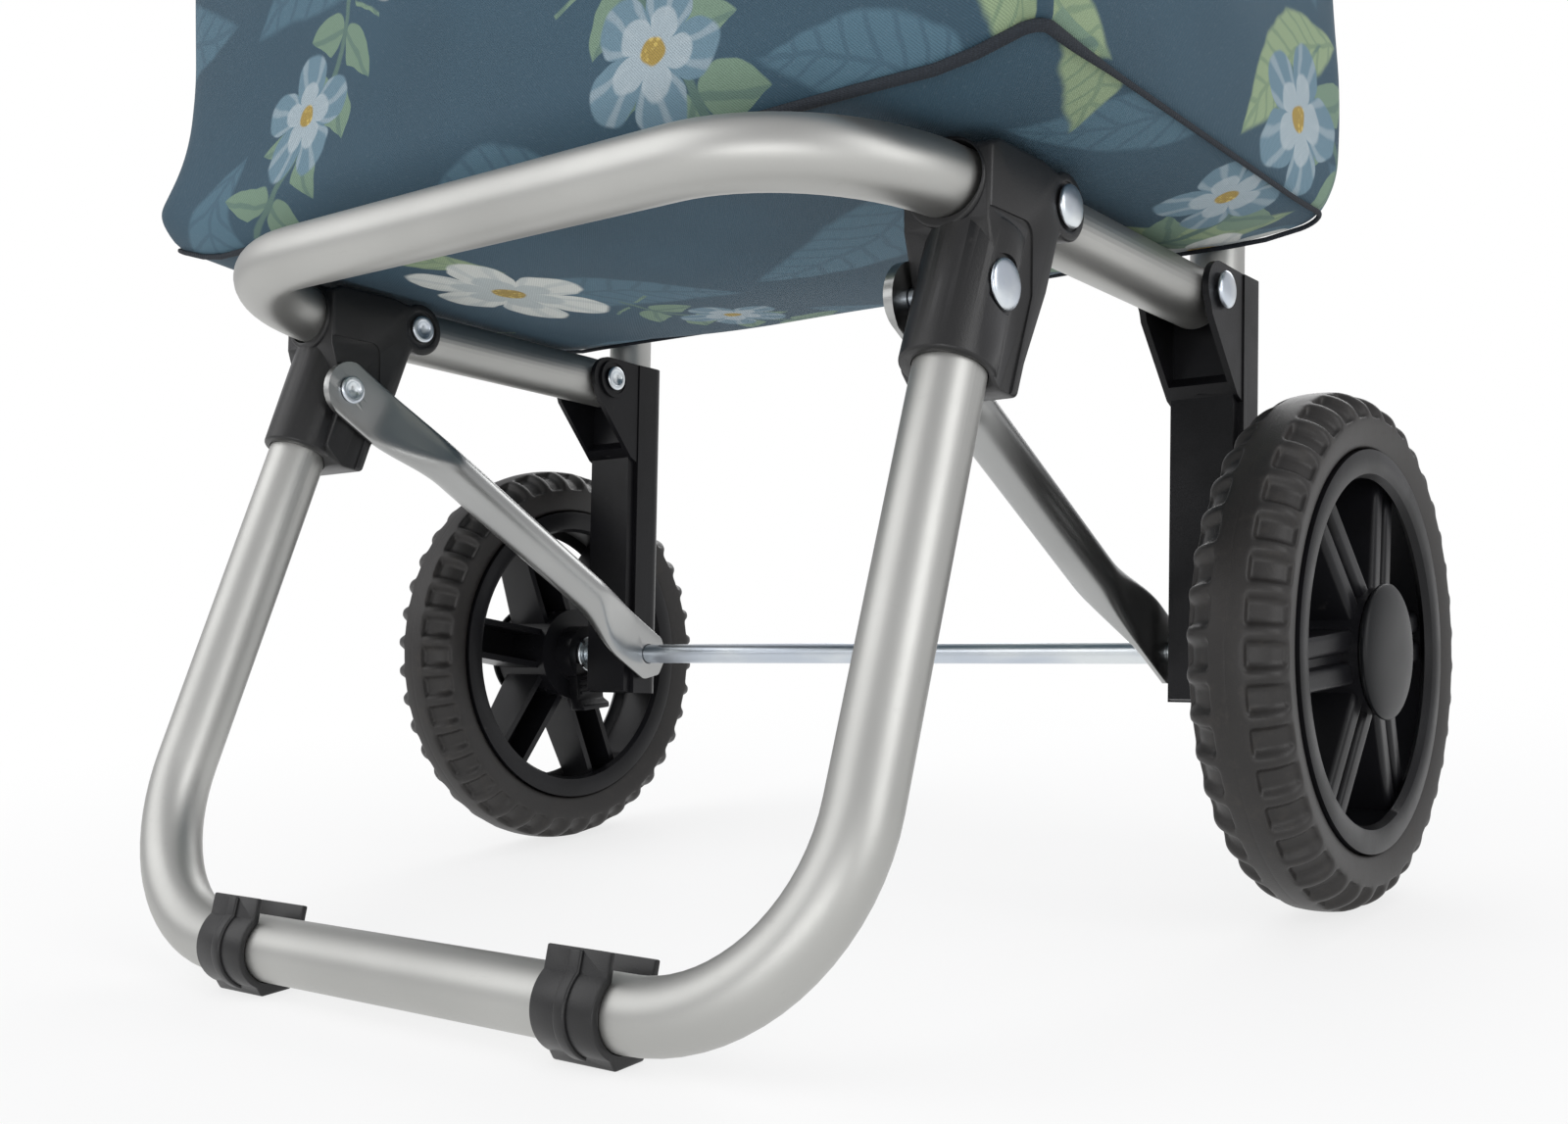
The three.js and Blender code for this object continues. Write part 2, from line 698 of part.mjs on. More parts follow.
/** Foot clip: a band snapped round the foot bar, with two lips above the tube and a flat sole. */
function makeClip() {
  const { band, lipReach, lipTop, sole, soleHalfWidth } = CLIP;
  const inner = TUBE.radius + GAP;
  const wrap = (reach, outer, lipHeight) => {
    const inside = reach - band;
    const innerAngle = Math.acos(inside / inner);
    const outerAngle = Math.acos(reach / outer);
    const shape = outline([[inside, lipHeight], [inside, inner * Math.sin(innerAngle)]]);
    shape.absarc(0, 0, inner, innerAngle, Math.PI - innerAngle, true);
    shape.lineTo(-inside, lipHeight);
    shape.lineTo(-reach, lipHeight);
    shape.lineTo(-reach, outer * Math.sin(outerAngle));
    shape.absarc(0, 0, outer, Math.PI - outerAngle, outerAngle, false);
    shape.lineTo(reach, lipHeight);
    return shape;
  };
  const half = CLIP.length / 2;
  const ribHalf = CLIP.ribLength / 2;
  const tipped = (plate) => plate.rotateX(radians(-CLIP.tilt));
  const body = tipped(sidePlate(wrap(lipReach, inner + band, lipTop), -half, half, 7));
  const ribWrap = wrap(lipReach + CLIP.rib, inner + band + CLIP.rib, lipTop);
  const rib = tipped(sidePlate(ribWrap, -ribHalf, ribHalf, 7));
  const floor = -inner - sole;
  const foot = sidePlate(
    outline([
      [-inner - band, floor / 2],
      [-soleHalfWidth, floor],
      [soleHalfWidth, floor],
      [inner + band, floor / 2],
    ]),
    -half,
    half,
  );
  return cut(join(body, rib, foot), bar(inner, -half - 1, half + 1, AXLE, 28));
}

/** Strut: a tube pressed flat at both ends, its flats in one plane. */
function makeStrut() {
  const start = new THREE.Vector2(...AXLE);
  const end = new THREE.Vector2(...STRUT_PIVOT);
  const length = start.distanceTo(end);
  const along = end.clone().sub(start).normalize();
  const across = new THREE.Vector2(-along.y, along.x);
  const ring = (distance, halfWidth, halfThickness) => {
    const points = [];
    const flatness = (halfWidth - STRUT.radius) / (STRUT.flatHalfWidth - STRUT.radius);
    const squareness = THREE.MathUtils.lerp(1, 0.45, flatness);
    for (let i = 0; i < 16; i += 1) {
      const angle = (2 * Math.PI * i) / 16;
      const c = Math.sign(Math.cos(angle)) * Math.abs(Math.cos(angle)) ** squareness;
      const s = Math.sign(Math.sin(angle)) * Math.abs(Math.sin(angle)) ** squareness;
      const side = start.clone().addScaledVector(along, distance).addScaledVector(across, halfWidth * c);
      points.push(at(STRUT_FACE_X - halfThickness + halfThickness * s, [side.x, side.y]));
    }
    return points;
  };
  const half = STRUT.flatThickness / 2;
  const sections = [
    [-STRUT.flatHalfWidth - 1, 1],
    [STRUT.flatLength, 1],
    [STRUT.flatLength + STRUT.neck * 0.3, 0.75],
    [STRUT.flatLength + STRUT.neck * 0.65, 0.25],
    [STRUT.flatLength + STRUT.neck, 0],
  ];
  const mirroredSections = sections.map(([distance, flat]) => [length - distance, flat]).reverse();
  const rings = [...sections, ...mirroredSections].map(([distance, flat]) => ring(
    distance,
    THREE.MathUtils.lerp(STRUT.radius, STRUT.flatHalfWidth, flat),
    THREE.MathUtils.lerp(STRUT.radius, half, flat),
  ));
  const { endReach, endHalf, clip, flatHalfWidth } = STRUT;
  const corner = (pivot, ahead, aside) => {
    const place = pivot.clone().addScaledVector(along, ahead).addScaledVector(across, aside);
    return [place.x, place.y];
  };
  const clippedEnd = (pivot, sign) => [
    corner(pivot, sign * (endReach - clip), sign * -flatHalfWidth),
    corner(pivot, sign * endReach, sign * -endHalf),
    corner(pivot, sign * endReach, sign * endHalf),
    corner(pivot, sign * (endReach - clip), sign * flatHalfWidth),
  ];
  const reach = [STRUT_FACE_X - 4 * STRUT.radius, STRUT_FACE_X + STRUT.radius];
  const trim = sidePlate(outline([...clippedEnd(end, 1), ...clippedEnd(start, -1)]), ...reach);
  const pressed = solid(loft(rings)).intersect(solid(trim));
  return cut(
    pressed,
    bar(ROD.radius + GAP, ...reach, AXLE, 12),
    bar(RIVET.radius + GAP, ...reach, STRUT_PIVOT, 12),
  );
}

// ------------------------------------------------------------------ wheels

/** Wheel body: a barrel, six ribbed spokes and a hub, drawn about x = 0 with its face at +x. */
function makeRim(turn) {
  const { seatRadius, flangeLip, halfWidth, hubRadius, hubWellRadius, hubCollar } = WHEEL;
  const opening = seatRadius - WHEEL.flangeDepth;
  const well = seatRadius - WHEEL.wellDepth;
  const barrel = turned([
    [seatRadius, -halfWidth],
    [seatRadius, halfWidth],
    [opening + 1, halfWidth],
    [opening, halfWidth - flangeLip],
    [well, halfWidth - 2 * flangeLip],
    [well, 2 * flangeLip - halfWidth],
    [opening, flangeLip - halfWidth],
    [opening + 1, -halfWidth],
    [seatRadius, -halfWidth],
  ], 40);
  const hubFace = halfWidth + 1;
  const { spokeHalfWidth: w, spokeHalfDepth: d, spokeWall, spokeFace } = WHEEL;
  const hub = turned([
    [0, hubInner],
    [hubWellRadius, hubInner],
    [hubWellRadius, -d - hubCollar],
    [hubRadius, -d - hubCollar],
    [hubRadius, hubFace],
    [0, hubFace],
  ], 20);
  const { spokeChamfer: chamfer, spokeGroove: groove, grooveDepth } = WHEEL;
  const half = [
    [w - spokeWall, d - spokeFace],
    [w - spokeWall, -d],
    [w, -d],
    [w, d - chamfer],
    [w - chamfer, d],
    [groove, d],
    [groove, d - grooveDepth],
  ];
  const section = outline([...half, ...half.map(([a, b]) => [-a, b]).reverse()]);
  const root = hubWellRadius - ROD.radius;
  const spokes = Array.from({ length: WHEEL.spokes }, (_, i) => {
    const spoke = new THREE.ExtrudeGeometry(section, { depth: well + 1 - root, bevelEnabled: false });
    const basis = new THREE.Matrix4().makeBasis(
      new THREE.Vector3(0, 1, 0),
      new THREE.Vector3(1, 0, 0),
      new THREE.Vector3(0, 0, -1),
    );
    const angle = radians(turn) + (2 * Math.PI * i) / WHEEL.spokes;
    return spoke.translate(0, 0, root).applyMatrix4(basis).rotateX(angle);
  });
  const past = hubFace + ROD.radius;
  const bore = bar(ROD.radius + GAP, hubInner - ROD.radius, past, AXLE);
  const counterbore = bar(WHEEL.boreRadius, ROD.endX - WHEEL.x - WHEEL.boreDepth, past, AXLE);
  return cut(join(barrel, hub, ...spokes), bore, counterbore, latchSlot());
}

const hubInner = legOuterX + GAP + COLLAR.length + GAP + WASHER.thickness + GAP - WHEEL.x;

/** The space that the release latch slides in, open at the hub's inner end. */
function latchSlot() {
  const { room, far, travel, thickness } = LATCH;
  const width = 2 * (LATCH.halfWidth + GAP);
  const depth = thickness + 2 * GAP;
  const low = -far - travel - ROD.radius;
  const high = -ROD.radius / 2;
  const slot = new THREE.BoxGeometry(depth + room, width, high - low);
  return slot.translate(hubInner + (depth - room) / 2, 0, (low + high) / 2);
}

/** Solid rubber tyre: a smooth middle band, with a row of pockets round each shoulder. */
function makeTyre() {
  const { radius, seatRadius } = WHEEL;
  const { halfWidth: w, bandHalfWidth, pocketDepth, pocketLength, lugs } = TYRE;
  const inner = seatRadius + GAP;
  const section = (angle, sunk) => {
    const [shoulderDrop, shoulderInset] = TYRE.shoulder;
    const half = [
      [inner, w - TYRE.beadInset],
      [radius - TYRE.sideWallDrop, w],
      [radius - shoulderDrop - sunk, w - shoulderInset - sunk / 2],
      [radius - TYRE.bandCrown, bandHalfWidth],
    ];
    const profile = [
      ...half.map(([r, x]) => [r, -x]),
      [radius, 0],
      ...half.reverse(),
    ];
    return profile.map(([r, x]) => new THREE.Vector3(x, r * Math.cos(angle), r * Math.sin(angle)));
  };
  const pitch = (2 * Math.PI) / lugs;
  const pocket = pocketLength / radius;
  const wall = pocket * 0.12;
  const rings = Array.from({ length: lugs }, (_, i) => [
    section(i * pitch, 0),
    section((i + 1) * pitch - pocket - wall, 0),
    section((i + 1) * pitch - pocket, pocketDepth),
    section((i + 1) * pitch - wall, pocketDepth),
  ]);
  return loft(rings.flat(), true);
}

/** Domed cap over the hub's outer end. */
function makeHubCap() {
  const face = WHEEL.halfWidth + 1 + GAP;
  const { radius, height, collar, spigot } = HUB_CAP;
  const inner = radius - spigot;
  return turned([
    [0, face],
    [inner, face],
    [inner, face + collar * 0.4],
    [radius, face + collar * 0.5],
    [radius, face + collar],
    [radius * 0.93, face + collar + height * 0.35],
    [radius * 0.7, face + collar + height * 0.75],
    [radius * 0.35, face + collar + height * 0.95],
    [0, face + collar + height],
  ], 20);
}

/** Release latch: a tab in the hub's inner end, with a hooked lip to push. */
function makeLatch() {
  const { halfWidth, near, far, thickness, lip, hook } = LATCH;
  const side = outline([
    [0, -near],
    [thickness, -near],
    [thickness, -far],
    [-lip, -far],
    [-lip, hook - far],
    [0, 2 * hook - far],
  ]);
  const tab = new THREE.ExtrudeGeometry(side, { depth: 2 * halfWidth, bevelEnabled: false });
  return tab.rotateX(Math.PI / 2).translate(hubInner + GAP, halfWidth, 0);
}

// ------------------------------------------------------------------ axle

const makeRod = () => bar(ROD.radius, -ROD.endX, ROD.endX, AXLE);

/** Ridged collar that keeps the wheel off the leg. */
function makeCollar() {
  const start = legOuterX + GAP;
  const inner = ROD.radius + GAP;
  const { radius, ridge, length, ridges } = COLLAR;
  const profile = [[inner, start]];
  const pitch = length / ridges;
  for (let i = 0; i < ridges; i += 1) {
    profile.push([radius - ridge, start + i * pitch], [radius, start + (i + 0.5) * pitch]);
  }
  profile.push([radius - ridge, start + length], [inner, start + length], [inner, start]);
  return turned(profile, 12);
}

function makeWasher() {
  const start = legOuterX + 2 * GAP + COLLAR.length;
  const end = start + WASHER.thickness;
  const inner = ROD.radius + GAP;
  return turned([
    [inner, start],
    [WASHER.radius, start],
    [WASHER.radius, end],
    [inner, end],
    [inner, start],
  ], 16);
}

// ------------------------------------------------------------------ bag

/** Half width of the bag at a height: wide at the base board, drawn in above it. */
function bagHalfWidth(up) {
  const t = THREE.MathUtils.smoothstep(up, baseUp(BAG.front), BAG.waistUp);
  return THREE.MathUtils.lerp(BAG.baseHalfWidth, BAG.waistHalfWidth, t);
}

/** Height of the base where it rests on the tubes. */
function baseUp(forward) {
  return THREE.MathUtils.mapLinear(forward, BAG.back, BAG.front, BAG.seatBack, BAG.seatFront);
}

/** Height of the base anywhere: hung between the tubes and turned up past them. */
function baseHeight(x, forward) {
  const supportX = SIDE_X - TUBE.radius;
  const inside = Math.max(0, 1 - Math.abs(x) / supportX);
  const share = THREE.MathUtils.clamp((forward - BAG.back) / (BAG.front - BAG.back), 0, 1);
  const dip = BAG.sag * Math.sin((inside * Math.PI) / 2) * Math.sin(Math.PI * share);
  const outerSupport = SIDE_X + TUBE.radius;
  const past = Math.max(0, Math.abs(x) - outerSupport) / (BAG.baseHalfWidth - outerSupport);
  return baseUp(forward) - dip + BAG.edgeRise * past ** 1.5;
}

const bagRing = (up, inset) => roundedRing(
  bagHalfWidth(up) - inset,
  BAG.back + inset,
  BAG.front - inset,
  BAG.cornerRadius - inset,
  up,
);

/** The bag's base and lower skirt, down to the seam and in to the middle of the base. */
function makeBagBase() {
  const drawIn = [1, 0.6, 0.28];
  const skin = (inset) => {
    const seam = bagRing(baseUp(BAG.front), inset).map((p) => (
      p.clone().setZ(baseHeight(p.x, -p.y) + inset)
    ));
    const centre = new THREE.Vector3(0, -(BAG.back + BAG.front) / 2, 0);
    const floor = [0.88, 0.74, 0.5, 0.25, 0.08].map((share) => seam.map((p) => {
      const q = centre.clone().lerp(p, share);
      return q.setZ(baseHeight(q.x, -q.y) + inset);
    }));
    const heights = drawIn.map((share) => THREE.MathUtils.lerp(BAG.seatFront, BAG.waistUp, share));
    const walls = [BAG.splitUp, ...heights].map((up) => bagRing(up, inset));
    return [...walls, seam, ...floor];
  };
  return loft([...skin(BAG.wall).reverse(), ...skin(0)]);
}

/** The bag above the skirt: walls open at the mouth. */
function makeBagBody() {
  const levels = [0, 0.35, 0.7, 1].map((share) => (
    THREE.MathUtils.lerp(BAG.splitUp + GAP, BAG.mouthUp, share)
  ));
  const outer = levels.map((up) => bagRing(up, 0));
  const inner = levels.map((up) => bagRing(up, BAG.wall)).reverse();
  return loft([...outer, ...inner], true);
}

const seamStep = 0.01; // keeps the hem's ring apart from the flap's at the back

/** Lid flap: a shallow cap hinged on the bag's back edge, with a skirt on its other sides. */
function makeLid() {
  const under = BAG.mouthUp + GAP;
  const over = under + LID.thickness;
  const reach = GAP + LID.thickness;
  const ring = (grow, up) => {
    const half = BAG.waistHalfWidth + grow;
    return roundedRing(half, BAG.back, BAG.front + grow, BAG.cornerRadius + grow, up);
  };
  const skirtUp = (p) => {
    const share = THREE.MathUtils.clamp((-p.y - BAG.back - BAG.cornerRadius) / LID.skirtRun, 0, 1);
    return under - LID.skirt * share;
  };
  const hem = (grow) => ring(grow, 0).map((p) => p.clone().setZ(skirtUp(p) - seamStep));
  const centre = (up) => new THREE.Vector3(0, -(BAG.back + BAG.front) / 2, up);
  const crown = (share) => {
    const up = over + LID.crown * (1 - share ** 2);
    return ring(reach, up).map((p) => centre(up).lerp(p, share));
  };
  return loft([
    ring(GAP, under).map((p) => centre(under).lerp(p, 0.5)),
    ring(GAP, under),
    hem(GAP),
    hem(reach),
    ...[1, 0.88, 0.68, 0.42, 0.1].map(crown),
  ]);
}

/** Fabric loop that ties the bag's back to an upright. */
function makeLoop() {
  const section = new THREE.Shape().absarc(0, 0, UPRIGHT.radius + GAP + LOOP.wall, 0, 2 * Math.PI, false);
  section.holes.push(new THREE.Path().absarc(0, 0, UPRIGHT.radius + GAP, 0, 2 * Math.PI, true));
  return planPrism(section, LOOP.up, LOOP.up + LOOP.height, 8).translate(SIDE_X, -LEG.uprightForward, 0);
}

// ------------------------------------------------------------------ assembly

const chassis = new THREE.Group();
chassis.position.set(0, 0, WHEEL.radius);
chassis.rotation.x = -radians(LEAN);

const handle = makeHandle();
const innerFlat = STRUT_FACE_X - STRUT.flatThickness;
chassis.add(
  ...pair('wheel_leg', makeLeg(), blackPlastic),
  mesh('handle_tube', geometryOf(handle.tube), satinTube),
  mesh('handle_grip', geometryOf(makeGrip(handle.top)), gripFoam),
  mesh('axle_rod', geometryOf(makeRod()), zinc),
  ...pair('axle_collar', makeCollar(), zinc),
  ...pair('axle_washer', makeWasher(), zinc),
  ...pair('leg_rivet', makeLegRivet(), zinc),
  ...pair('side_tube', makeSideTube(), satinTube),
  ...pair('ear_rivet', makeEarRivet(), zinc),
  ...pair('platform_connector', makeConnector(), blackPlastic),
  mesh('platform_loop', geometryOf(makePlatformLoop()), satinTube),
  mesh('foot_loop', geometryOf(makeFootLoop()), satinTube),
  ...pair('strut', makeStrut(), satinTube),
  ...pair('strut_rivet', makeStrutRivet(), zinc),
  ...pair('strut_rivet_end', makeRivetEnd(), zinc),
  mesh('bag_base', geometryOf(makeBagBase()), bagFabric),
  mesh('bag_body', geometryOf(makeBagBody()), bagFabric),
  mesh('bag_lid', geometryOf(makeLid()), bagFabric),
  ...pair('bag_loop', makeLoop(), bagFabric),
);

function makeLegRivet() {
  const seat = legInnerX - LEG.bossHeight - GAP;
  return makeRivet(LEG_PIVOT, seat, legOuterX + GAP, RIVET.headRadius);
}

function makeEarRivet() {
  return makeRivet(EAR_PIVOT, connectorInnerX - GAP, connectorOuterX + GAP, RIVET.headRadius);
}

/** The strut's rivet, without the rolled end that turns with the strut. */
function makeStrutRivet() {
  const seat = connectorOuterX + GAP;
  return makeRivet(STRUT_PIVOT, STRUT_FACE_X + GAP, seat, PIVOT_HEAD_RADIUS, false);
}

/** Rolled end of the strut's rivet, seated in the strut's flat. */
function makeRivetEnd() {
  const outer = STRUT_FACE_X;
  const profile = [...rolledEnd(innerFlat - GAP), [RIVET.radius, outer], [0, outer]];
  return turned(profile, 14).translate(0, -STRUT_PIVOT[0], STRUT_PIVOT[1]);
}

/** One wheel with its tyre, cap and latch, turned about the axle. */
function makeWheel(side) {
  const wheel = new THREE.Group();
  const flip = side === 'left' ? mirrored : (geometry) => geometry;
  const x = side === 'left' ? -WHEEL.x : WHEEL.x;
  const turn = side === 'left' ? WHEEL.turnLeft : WHEEL.turnRight;
  wheel.add(
    mesh(`wheel_rim_${side}`, flip(geometryOf(makeRim(turn))), blackPlastic),
    mesh(`tyre_${side}`, flip(geometryOf(makeTyre())), rubber),
    mesh(`hub_cap_${side}`, flip(geometryOf(makeHubCap())), capPlastic),
    mesh(`wheel_latch_${side}`, flip(geometryOf(makeLatch())), blackPlastic),
  );
  wheel.position.set(x, 0, WHEEL.radius);
  return wheel;
}

/** One foot clip on the floor under the foot bar. */
function placeClip(side, sign) {
  const clip = mesh(`foot_clip_${side}`, geometryOf(makeClip()), blackPlastic);
  clip.position.set(sign * CLIP.offset, -FOOT.barForward, footBarHeight);
  return clip;
}

const trolley = new THREE.Group();
trolley.add(
  chassis,
  makeWheel('right'),
  makeWheel('left'),
  placeClip('right', 1),
  placeClip('left', -1),
);

// The origin lies under the middle of the whole box.
const extent = new THREE.Box3().setFromObject(trolley, true);
trolley.position.y = -(extent.min.y + extent.max.y) / 2;

export default trolley;
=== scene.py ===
"""Dressed model of a two-wheeled shopping trolley with a folding front platform.

The frame comes packed and fixed. Each class below models one sub-assembly in millimetres, in the
leaning side view of the chassis or about a wheel's own axle. It then sets it down in the frame,
in metres, on the body that it rides on.
"""

import json
import logging
import math
from contextlib import contextmanager
from dataclasses import dataclass
from enum import Enum
from typing import Callable, Iterator, Sequence

import bpy
from mathutils import Matrix, Vector

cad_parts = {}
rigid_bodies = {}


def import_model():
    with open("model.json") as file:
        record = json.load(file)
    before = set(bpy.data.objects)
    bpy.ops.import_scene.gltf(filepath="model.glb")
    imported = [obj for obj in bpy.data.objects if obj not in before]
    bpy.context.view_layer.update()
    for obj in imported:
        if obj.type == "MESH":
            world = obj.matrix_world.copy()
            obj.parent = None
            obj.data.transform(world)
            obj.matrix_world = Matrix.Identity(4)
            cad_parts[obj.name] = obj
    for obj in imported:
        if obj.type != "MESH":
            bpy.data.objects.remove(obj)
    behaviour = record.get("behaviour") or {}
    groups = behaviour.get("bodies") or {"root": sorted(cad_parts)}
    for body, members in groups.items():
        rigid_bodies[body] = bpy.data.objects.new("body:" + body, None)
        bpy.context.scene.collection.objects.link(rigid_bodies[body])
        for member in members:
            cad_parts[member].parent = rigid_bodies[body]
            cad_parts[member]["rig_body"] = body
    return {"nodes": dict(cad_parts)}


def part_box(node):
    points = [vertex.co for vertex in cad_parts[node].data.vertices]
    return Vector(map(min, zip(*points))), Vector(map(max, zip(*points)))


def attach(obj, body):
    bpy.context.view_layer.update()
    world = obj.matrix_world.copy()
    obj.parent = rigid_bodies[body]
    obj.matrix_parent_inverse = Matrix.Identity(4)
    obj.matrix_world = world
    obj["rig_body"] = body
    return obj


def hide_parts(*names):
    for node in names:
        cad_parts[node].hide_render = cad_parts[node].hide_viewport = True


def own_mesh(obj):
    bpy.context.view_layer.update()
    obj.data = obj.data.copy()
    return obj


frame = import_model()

LOG = logging.getLogger("trolley")
MM = 0.001
TURN = 2 * math.pi
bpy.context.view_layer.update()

Point = Sequence[float]
Piece = bpy.types.Object


class Side(Enum):
    """Which side of the trolley a piece is on, and the sign of its x."""

    RIGHT = 1
    LEFT = -1

    @property
    def facing(self) -> Matrix:
        """Turns a right piece into one of this side."""
        return Matrix.Scale(self.value, 4, Vector((1, 0, 0)))


# ---------------------------------------------------------------------------- sums


def arc(centre: Point, radius: float, start: float, end: float, steps: int) -> list[tuple]:
    """Points on an arc in a plane.

    Args:
        centre: Its middle.
        radius: Its radius.
        start: Where it starts, in degrees.
        end: Where it ends, in degrees.
        steps: Its steps.

    Returns:
        The points, both ends among them.
    """
    angles = [math.radians(start + (end - start) * i / steps) for i in range(steps + 1)]
    return [(centre[0] + radius * math.cos(a), centre[1] + radius * math.sin(a)) for a in angles]


def circle(count: int) -> list[tuple]:
    """Points spread round a circle of radius 1."""
    return arc((0, 0), 1, 0, 360, count)[:-1]


def blend(a: float, b: float, share: float) -> float:
    """A value between two others."""
    return a + (b - a) * share


def clamp(value: float) -> float:
    """The value, held between 0 and 1."""
    return min(1.0, max(0.0, value))


def ease(value: float, low: float, high: float) -> float:
    """Rises smoothly from 0 at low to 1 at high."""
    t = clamp((value - low) / (high - low))
    return t * t * (3 - 2 * t)


def rounded(
    half: float, back: float, front: float, radii: Point, per_corner: int, per_side: int
) -> list[tuple]:
    """A rectangle with rounded corners in plan.

    Args:
        half: Half its width.
        back: Where its back edge lies.
        front: Where its front edge lies.
        radii: Radii of the front right, front left, back left and back right corners.
        per_corner: Steps in a corner.
        per_side: Steps in a side.

    Returns:
        Points as (x, forward).
    """
    signs = ((1, front, -1), (-1, front, -1), (-1, back, 1), (1, back, 1))
    arcs = [
        arc((side * (half - r), edge + turn * r), r, 90 * i, 90 * i + 90, per_corner)
        for i, ((side, edge, turn), r) in enumerate(zip(signs, radii))
    ]
    points = []
    for corner, following in zip(arcs, arcs[1:] + arcs[:1]):
        last, first = corner[-1], following[0]
        shares = [i / per_side for i in range(1, per_side)]
        points += corner + [(blend(last[0], first[0], s), blend(last[1], first[1], s)) for s in shares]
    return points


# ---------------------------------------------------------------------------- layout


@dataclass(frozen=True)
class Layout:
    """Sizes that several pieces share, in millimetres, as (forward, up) from the axle."""

    lean: float = 7.0
    tube: float = 10.0
    upright: float = 9.0
    upright_forward: float = -2.5
    side_x: float = 136.8
    strut_face_x: float = 122.7
    strut_thick: float = 3.0
    leg_half: float = 13.0
    block_half: float = 13.8
    leg_pivot: tuple = (20.9, 116.6)
    ear_pivot: tuple = (126.0, 118.5)
    strut_pivot: tuple = (160.0, 90.0)
    axle: tuple = (0.0, 0.0)
    foot_bar: tuple = (226.513, -97.433)
    foot_run: tuple = (0.334403, -0.942430)
    overhang: float = 6.0
    gap: float = 0.3
    pin_bore: float = 3.3
    rod_bore: float = 4.3
    rod_end: float = 192.5

    def floor(self) -> Matrix:
        """Carries upright millimetres about the axle to the frame, in metres."""
        low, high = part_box("axle_rod")
        return Matrix.Translation((low + high) / 2) @ Matrix.Scale(MM, 4)

    def chassis(self) -> Matrix:
        """Carries the leaning side view, in millimetres, to the frame, in metres."""
        return self.floor() @ Matrix.Rotation(-math.radians(self.lean), 4, "X")

    def along_foot(self, distance: float) -> tuple:
        """The (forward, up) of the foot loop's side run, some way below the strut pivot."""
        return tuple(p + r * distance for p, r in zip(self.strut_pivot, self.foot_run))

    def end_room(self) -> float:
        """How far the side tube's ends sweep round their pivots, and the gap beyond."""
        return math.hypot(self.tube, self.overhang) + self.gap


LAYOUT = Layout()


def at(x: float, side_point: Point) -> Vector:
    """A (forward, up) point of the side view, at an x, in the leaning chassis."""
    return Vector((x, -side_point[0], side_point[1]))


# ---------------------------------------------------------------------------- the bench


